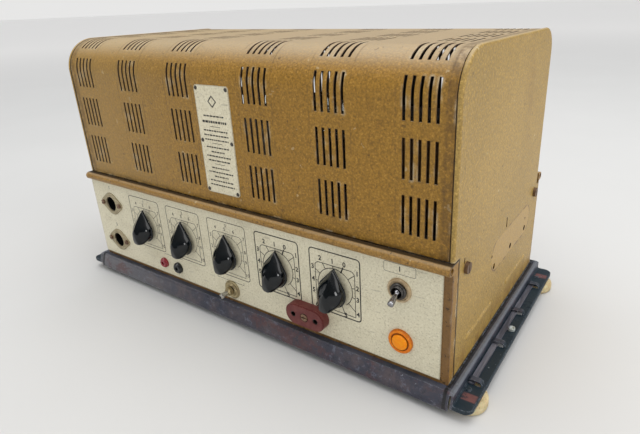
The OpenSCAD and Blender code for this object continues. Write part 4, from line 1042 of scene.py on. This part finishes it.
def valve_set(node, stem, r, base_r, base_h, anode):
    """Valves of one kind: glass, electrodes, and a moulded base if base_h isn't 0."""
    glass, base, inner = bmesh.new(), bmesh.new(), bmesh.new()
    for p, h in spots(node):
        top = h / MM
        at = Matrix.Translation(p)
        if base_h:
            lathe(base, [(0, 0.05), (base_r * 0.94, 0.05), (base_r, 1.2), (base_r, base_h - 3),
                         (base_r * 0.94, base_h - 1.4), (base_r * 0.9, base_h), (0, base_h)], 40, at)
        low = base_h - 1 if base_h else 0.3
        pts = envelope(r, low, top - (0.2 if base_h else 2.2))
        lathe(glass, [(0, low)] + pts, 40, at)
        hollow = [(max(0, q - 0.8), z - (0.8 if q < r * 0.6 else 0.2)) for q, z in pts[:-1]]
        lathe(glass, [(0, low + 0.8)] + hollow + [(0, pts[-1][1] - 0.9)], 40, at)
        if not base_h:
            lathe(glass, [(1.5, top - 2.4), (1.3, top - 0.8), (0.3, top), (0, top)], 16, at)
        w, d, z0, z1 = anode
        for sign in (-1, 1):
            block(inner, (-w, sign * d - 0.25, z0), (w, sign * d + 0.25, z1), at)
            block(inner, (sign * w - 0.25, -d, z0), (sign * w + 0.25, d, z1), at)
            block(inner, (sign * w * 1.25 - 1.2, -0.25, z0), (sign * w * 1.25 + 1.2, 0.25, z1), at)
        for x in (-w * 0.5, 0, w * 0.5):
            rod = at @ Matrix.Translation((x * MM, 0, 0))
            lathe(inner, [(0, low), (0.5, low), (0.5, z1 + 4), (0, z1 + 4)], 8, rod)
        for z in (z0 - 1.6, z1 + 0.6):
            lathe(inner, [(0, z), (r * 0.86, z), (r * 0.86, z + 0.8), (0, z + 0.8)], 24, at, 1)
        lathe(inner, [(3.4, z1 + 5), (4.2, z1 + 5), (4.2, z1 + 6), (3.4, z1 + 6), (3.4, z1 + 5)], 24, at)
    piece(stem + "_glass", glass, "glass", None, 50, 0, (node,))
    piece(stem + "_electrodes", inner, ("plates", "mica"), None, 30)
    if base_h:
        piece(stem + "_bases", base, "base", None, 40)
    else:
        base.free()


valve_set("power_valves", "power_valve", 15.4, 17, 22, (9, 5, 34, 76))
valve_set("rectifier_valves", "rectifier_valve", 14.9, 17, 22, (8, 4, 32, 60))
valve_set("preamp_valves", "preamp_valve", 10.5, 0, 0, (5, 3.5, 9, 34))

# capacitor cans
bm = bmesh.new()
for p, h in spots("filter_capacitors"):
    at = Matrix.Translation(p) @ Matrix.Translation((0, 0, 12 * MM))
    lathe(bm, [(0, -12), (5.8, -12), (5.8, 0.02), (0, 0.02)], 24, at, 1)
    lathe(bm, [(0, 0.03), (17, 0.03), (17, 2.2), (16.4, 3.6), (0, 3.6)], 48, at, 1)
    lathe(bm, [(0, 3.65), (16.4, 3.65), (16.6, 5), (16.2, 6.4), (15.8, 7.4), (16.3, 8.6), (16.3, 76),
               (15.9, 78), (14.8, 79.2), (12.5, 79.6), (11.5, 78.8), (0, 78.6)], 48, at)
    lathe(bm, [(16.35, 22), (16.5, 22), (16.5, 64), (16.35, 64), (16.35, 22)], 48, at, 2)
piece("capacitor_cans", bm, ("can", "board", "mica"), None, 35, 0,
      ("filter_capacitors",))


def iron(node):
    """Transformer or choke: a plated core with feet and bolts, and a paper-covered winding on each side."""
    lo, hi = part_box(node)
    c = (lo + hi) / 2
    w, d, h = (hi.x - lo.x) / MM - 20, (hi.y - lo.y) / MM, (hi.z - lo.z) / MM
    at = Matrix.Translation((c.x, c.y, lo.z))
    core, soft = bmesh.new(), bmesh.new()
    block(core, (-w / 2 + 1, -d / 4, 0.02), (w / 2 - 1, d / 4, h), at)
    for sign in (-1, 1):
        block(core, (sign * (w / 2 + 4.5) - 6, -d / 4, 0.02), (sign * (w / 2 + 4.5) + 5.4, d / 4, 2), at, 1)
        for z in (7, h - 7):
            for y in (-1, 1):
                bolt = Matrix.Translation((sign * (w / 2 - 7) * MM, y * d / 4 * MM, z * MM))
                bolt = at @ bolt @ Matrix.Rotation(-y * math.pi / 2, 4, "X")
                lathe(core, [(0, -0.5), (4.2, -0.5), (4.2, 2.6), (3.6, 3.2), (0, 3.2)], 6, bolt, 1)
                lathe(core, [(0, 3), (1.9, 3), (1.9, 5.4), (0, 5.4)], 16, bolt, 1)
    for y in (-1, 1):
        pts = rounded(-w / 2 + 12, 10, w / 2 - 12, h - 10, 7, 6)
        rings = []
        for out, part in ((d / 4 - 0.2, 1), (d / 2 - 3.5, 1), (d / 2 - 0.3, 0.93)):
            ring = [(x * part, h / 2 + (z - h / 2) * part) for x, z in pts]
            rings.append([soft.verts.new((x * MM, y * out * MM, z * MM)) for x, z in ring])
        skin(soft, rings)
        soft.faces.new(rings[0])
        soft.faces.new(rings[-1])
        near, far = sorted((y * (d / 2 - 0.4), y * (d / 2 - 0.05)))
        for k in range(4):
            x = (k - 1.5) * w * 0.14
            block(soft, (x - 1.4, near, h * 0.2), (x + 1.4, far, h * 0.2 + 8), None, 1)
    bmesh.ops.transform(soft, matrix=at, verts=soft.verts)
    piece(node + "_core", core, ("core", "steel"), None, 30, 0.0006, (node,))
    piece(node + "_winding", soft, ("paper", "brass"), None, 35)


for node in ("mains_transformer", "output_transformer", "smoothing_choke"):
    iron(node)

# ---------- floor, light, camera ----------
bm = bmesh.new()
bmesh.ops.create_grid(bm, x_segments=1, y_segments=1, size=30, matrix=Matrix.Translation((0, 0, CAD_LO.z)))
me = bpy.data.meshes.new("floor")
bm.to_mesh(me)
bm.free()
floor = bpy.data.objects.new("floor", me)
scene.collection.objects.link(floor)
fm = Mat("floor_pale")
away = fm.band(fm.far((0, 0, 0), (0, 1)), 0.9, 5.0)
pale = fm.mix(away, (0.60, 0.597, 0.59), (0.95, 0.93, 0.91))
pale = fm.layer(pale, fm.patch(0.3, 0.7, 3, 3), (0.9, 0.9, 0.89), 0.04)
me.materials.append(fm.set(Base_Color=pale, Roughness=0.8, Specular_IOR_Level=0.1))

world = bpy.data.worlds.new("studio")
scene.world = world
world.use_nodes = True
tree = world.node_tree
link = tree.links.new


def shader(kind):
    return tree.nodes.new("ShaderNode" + kind)


sky = tree.nodes["Background"]
sky.inputs[0].default_value = (0.97, 0.985, 1.0, 1)
sky.inputs[1].default_value = 0.78
ways = shader("TexCoord").outputs["Generated"]


def toward(direction, half, soft, strength):
    """Brightness of a round window in the studio, as reflections see it."""
    dot = shader("VectorMath")
    dot.operation = "DOT_PRODUCT"
    link(ways, dot.inputs[0])
    dot.inputs[1].default_value = Vector(direction).normalized()
    ramp = shader("MapRange")
    link(dot.outputs["Value"], ramp.inputs[0])
    ramp.inputs[1].default_value = math.cos(math.radians(half + soft))
    ramp.inputs[2].default_value = math.cos(math.radians(half))
    ramp.inputs[4].default_value = strength
    return ramp.outputs[0]


# direction, half angle, soft edge and strength of each window
glint = None
for direction, half, soft, strength in (((0, 0, 1), 20, 60, 0.5), ((0.82, -0.56, 0.12), 5, 2, 11.0),
                                        ((-0.16, -0.95, 0.12), 6, 3, 9.0), ((-0.5, -0.5, 0.7), 7, 3, 6.0),
                                        ((1, 0.3, 0.25), 30, 25, 0.4)):
    part = toward(direction, half, soft, strength)
    if glint is not None:
        both = shader("Math")
        link(glint, both.inputs[0])
        link(part, both.inputs[1])
        part = both.outputs[0]
    glint = part
# glossy rays see a dim studio with bright windows, the camera an even grey wall, and all others soft light
lift = shader("Math")
link(glint, lift.inputs[0])
lift.inputs[1].default_value = 0.22
mirror = shader("Background")
link(lift.outputs[0], mirror.inputs[1])
seen = shader("Background")
seen.inputs[0].default_value = (0.80, 0.797, 0.79, 1)
path = shader("LightPath")


def choose(rays, others, those):
    """One shader for a kind of rays and another for all others."""
    n = shader("MixShader")
    link(path.outputs[rays], n.inputs[0])
    link(others.outputs[0], n.inputs[1])
    link(those.outputs[0], n.inputs[2])
    return n


last = choose("Is Camera Ray", choose("Is Glossy Ray", sky, mirror), seen)
link(last.outputs[0], tree.nodes["World Output"].inputs[0])


def area(name, place, size, power):
    """Square lamp that looks at the middle of the part."""
    d = bpy.data.lights.new(name, "AREA")
    d.shape = "RECTANGLE"
    d.size = size
    d.size_y = size
    d.energy = power
    d.color = (1.0, 0.99, 0.97)
    o = bpy.data.objects.new(name, d)
    scene.collection.objects.link(o)
    o.location = place
    o.rotation_mode = "QUATERNION"
    o.rotation_quaternion = (Vector((0, 0, 0.1)) - Vector(place)).to_track_quat("-Z", "Y")


area("overhead", (0.1, 0.1, 2.2), 2.4, 34)
area("right_side", (1.9, 0.0, 1.2), 1.4, 12)

cam_data = bpy.data.cameras.new("camera")
cam = bpy.data.objects.new("camera", cam_data)
scene.collection.objects.link(cam)
AZ, EL, ROLL = 0.601, 0.378, -0.036
EYE = (526.553, 260.014, 273.436)
# the camera's axes: AZ to the right of the front, EL above it, and ROLL about its own view
fwd = Vector((-math.sin(AZ) * math.cos(EL), math.cos(AZ) * math.cos(EL), -math.sin(EL)))
side = Vector((math.cos(AZ), math.sin(AZ), 0))
up = side.cross(fwd)
right = side * math.cos(ROLL) + up * math.sin(ROLL)
over = up * math.cos(ROLL) - side * math.sin(ROLL)
cam.matrix_world = Matrix((right, over, -fwd)).transposed().to_4x4()
cam.location = front(*EYE)
cam_data.sensor_width = 36
cam_data.lens = 28.18783125
cam_data.shift_x = -0.0434296875
cam_data.shift_y = -0.0244203125
cam_data.clip_start = 0.01
cam_data.clip_end = 100
scene.camera = cam
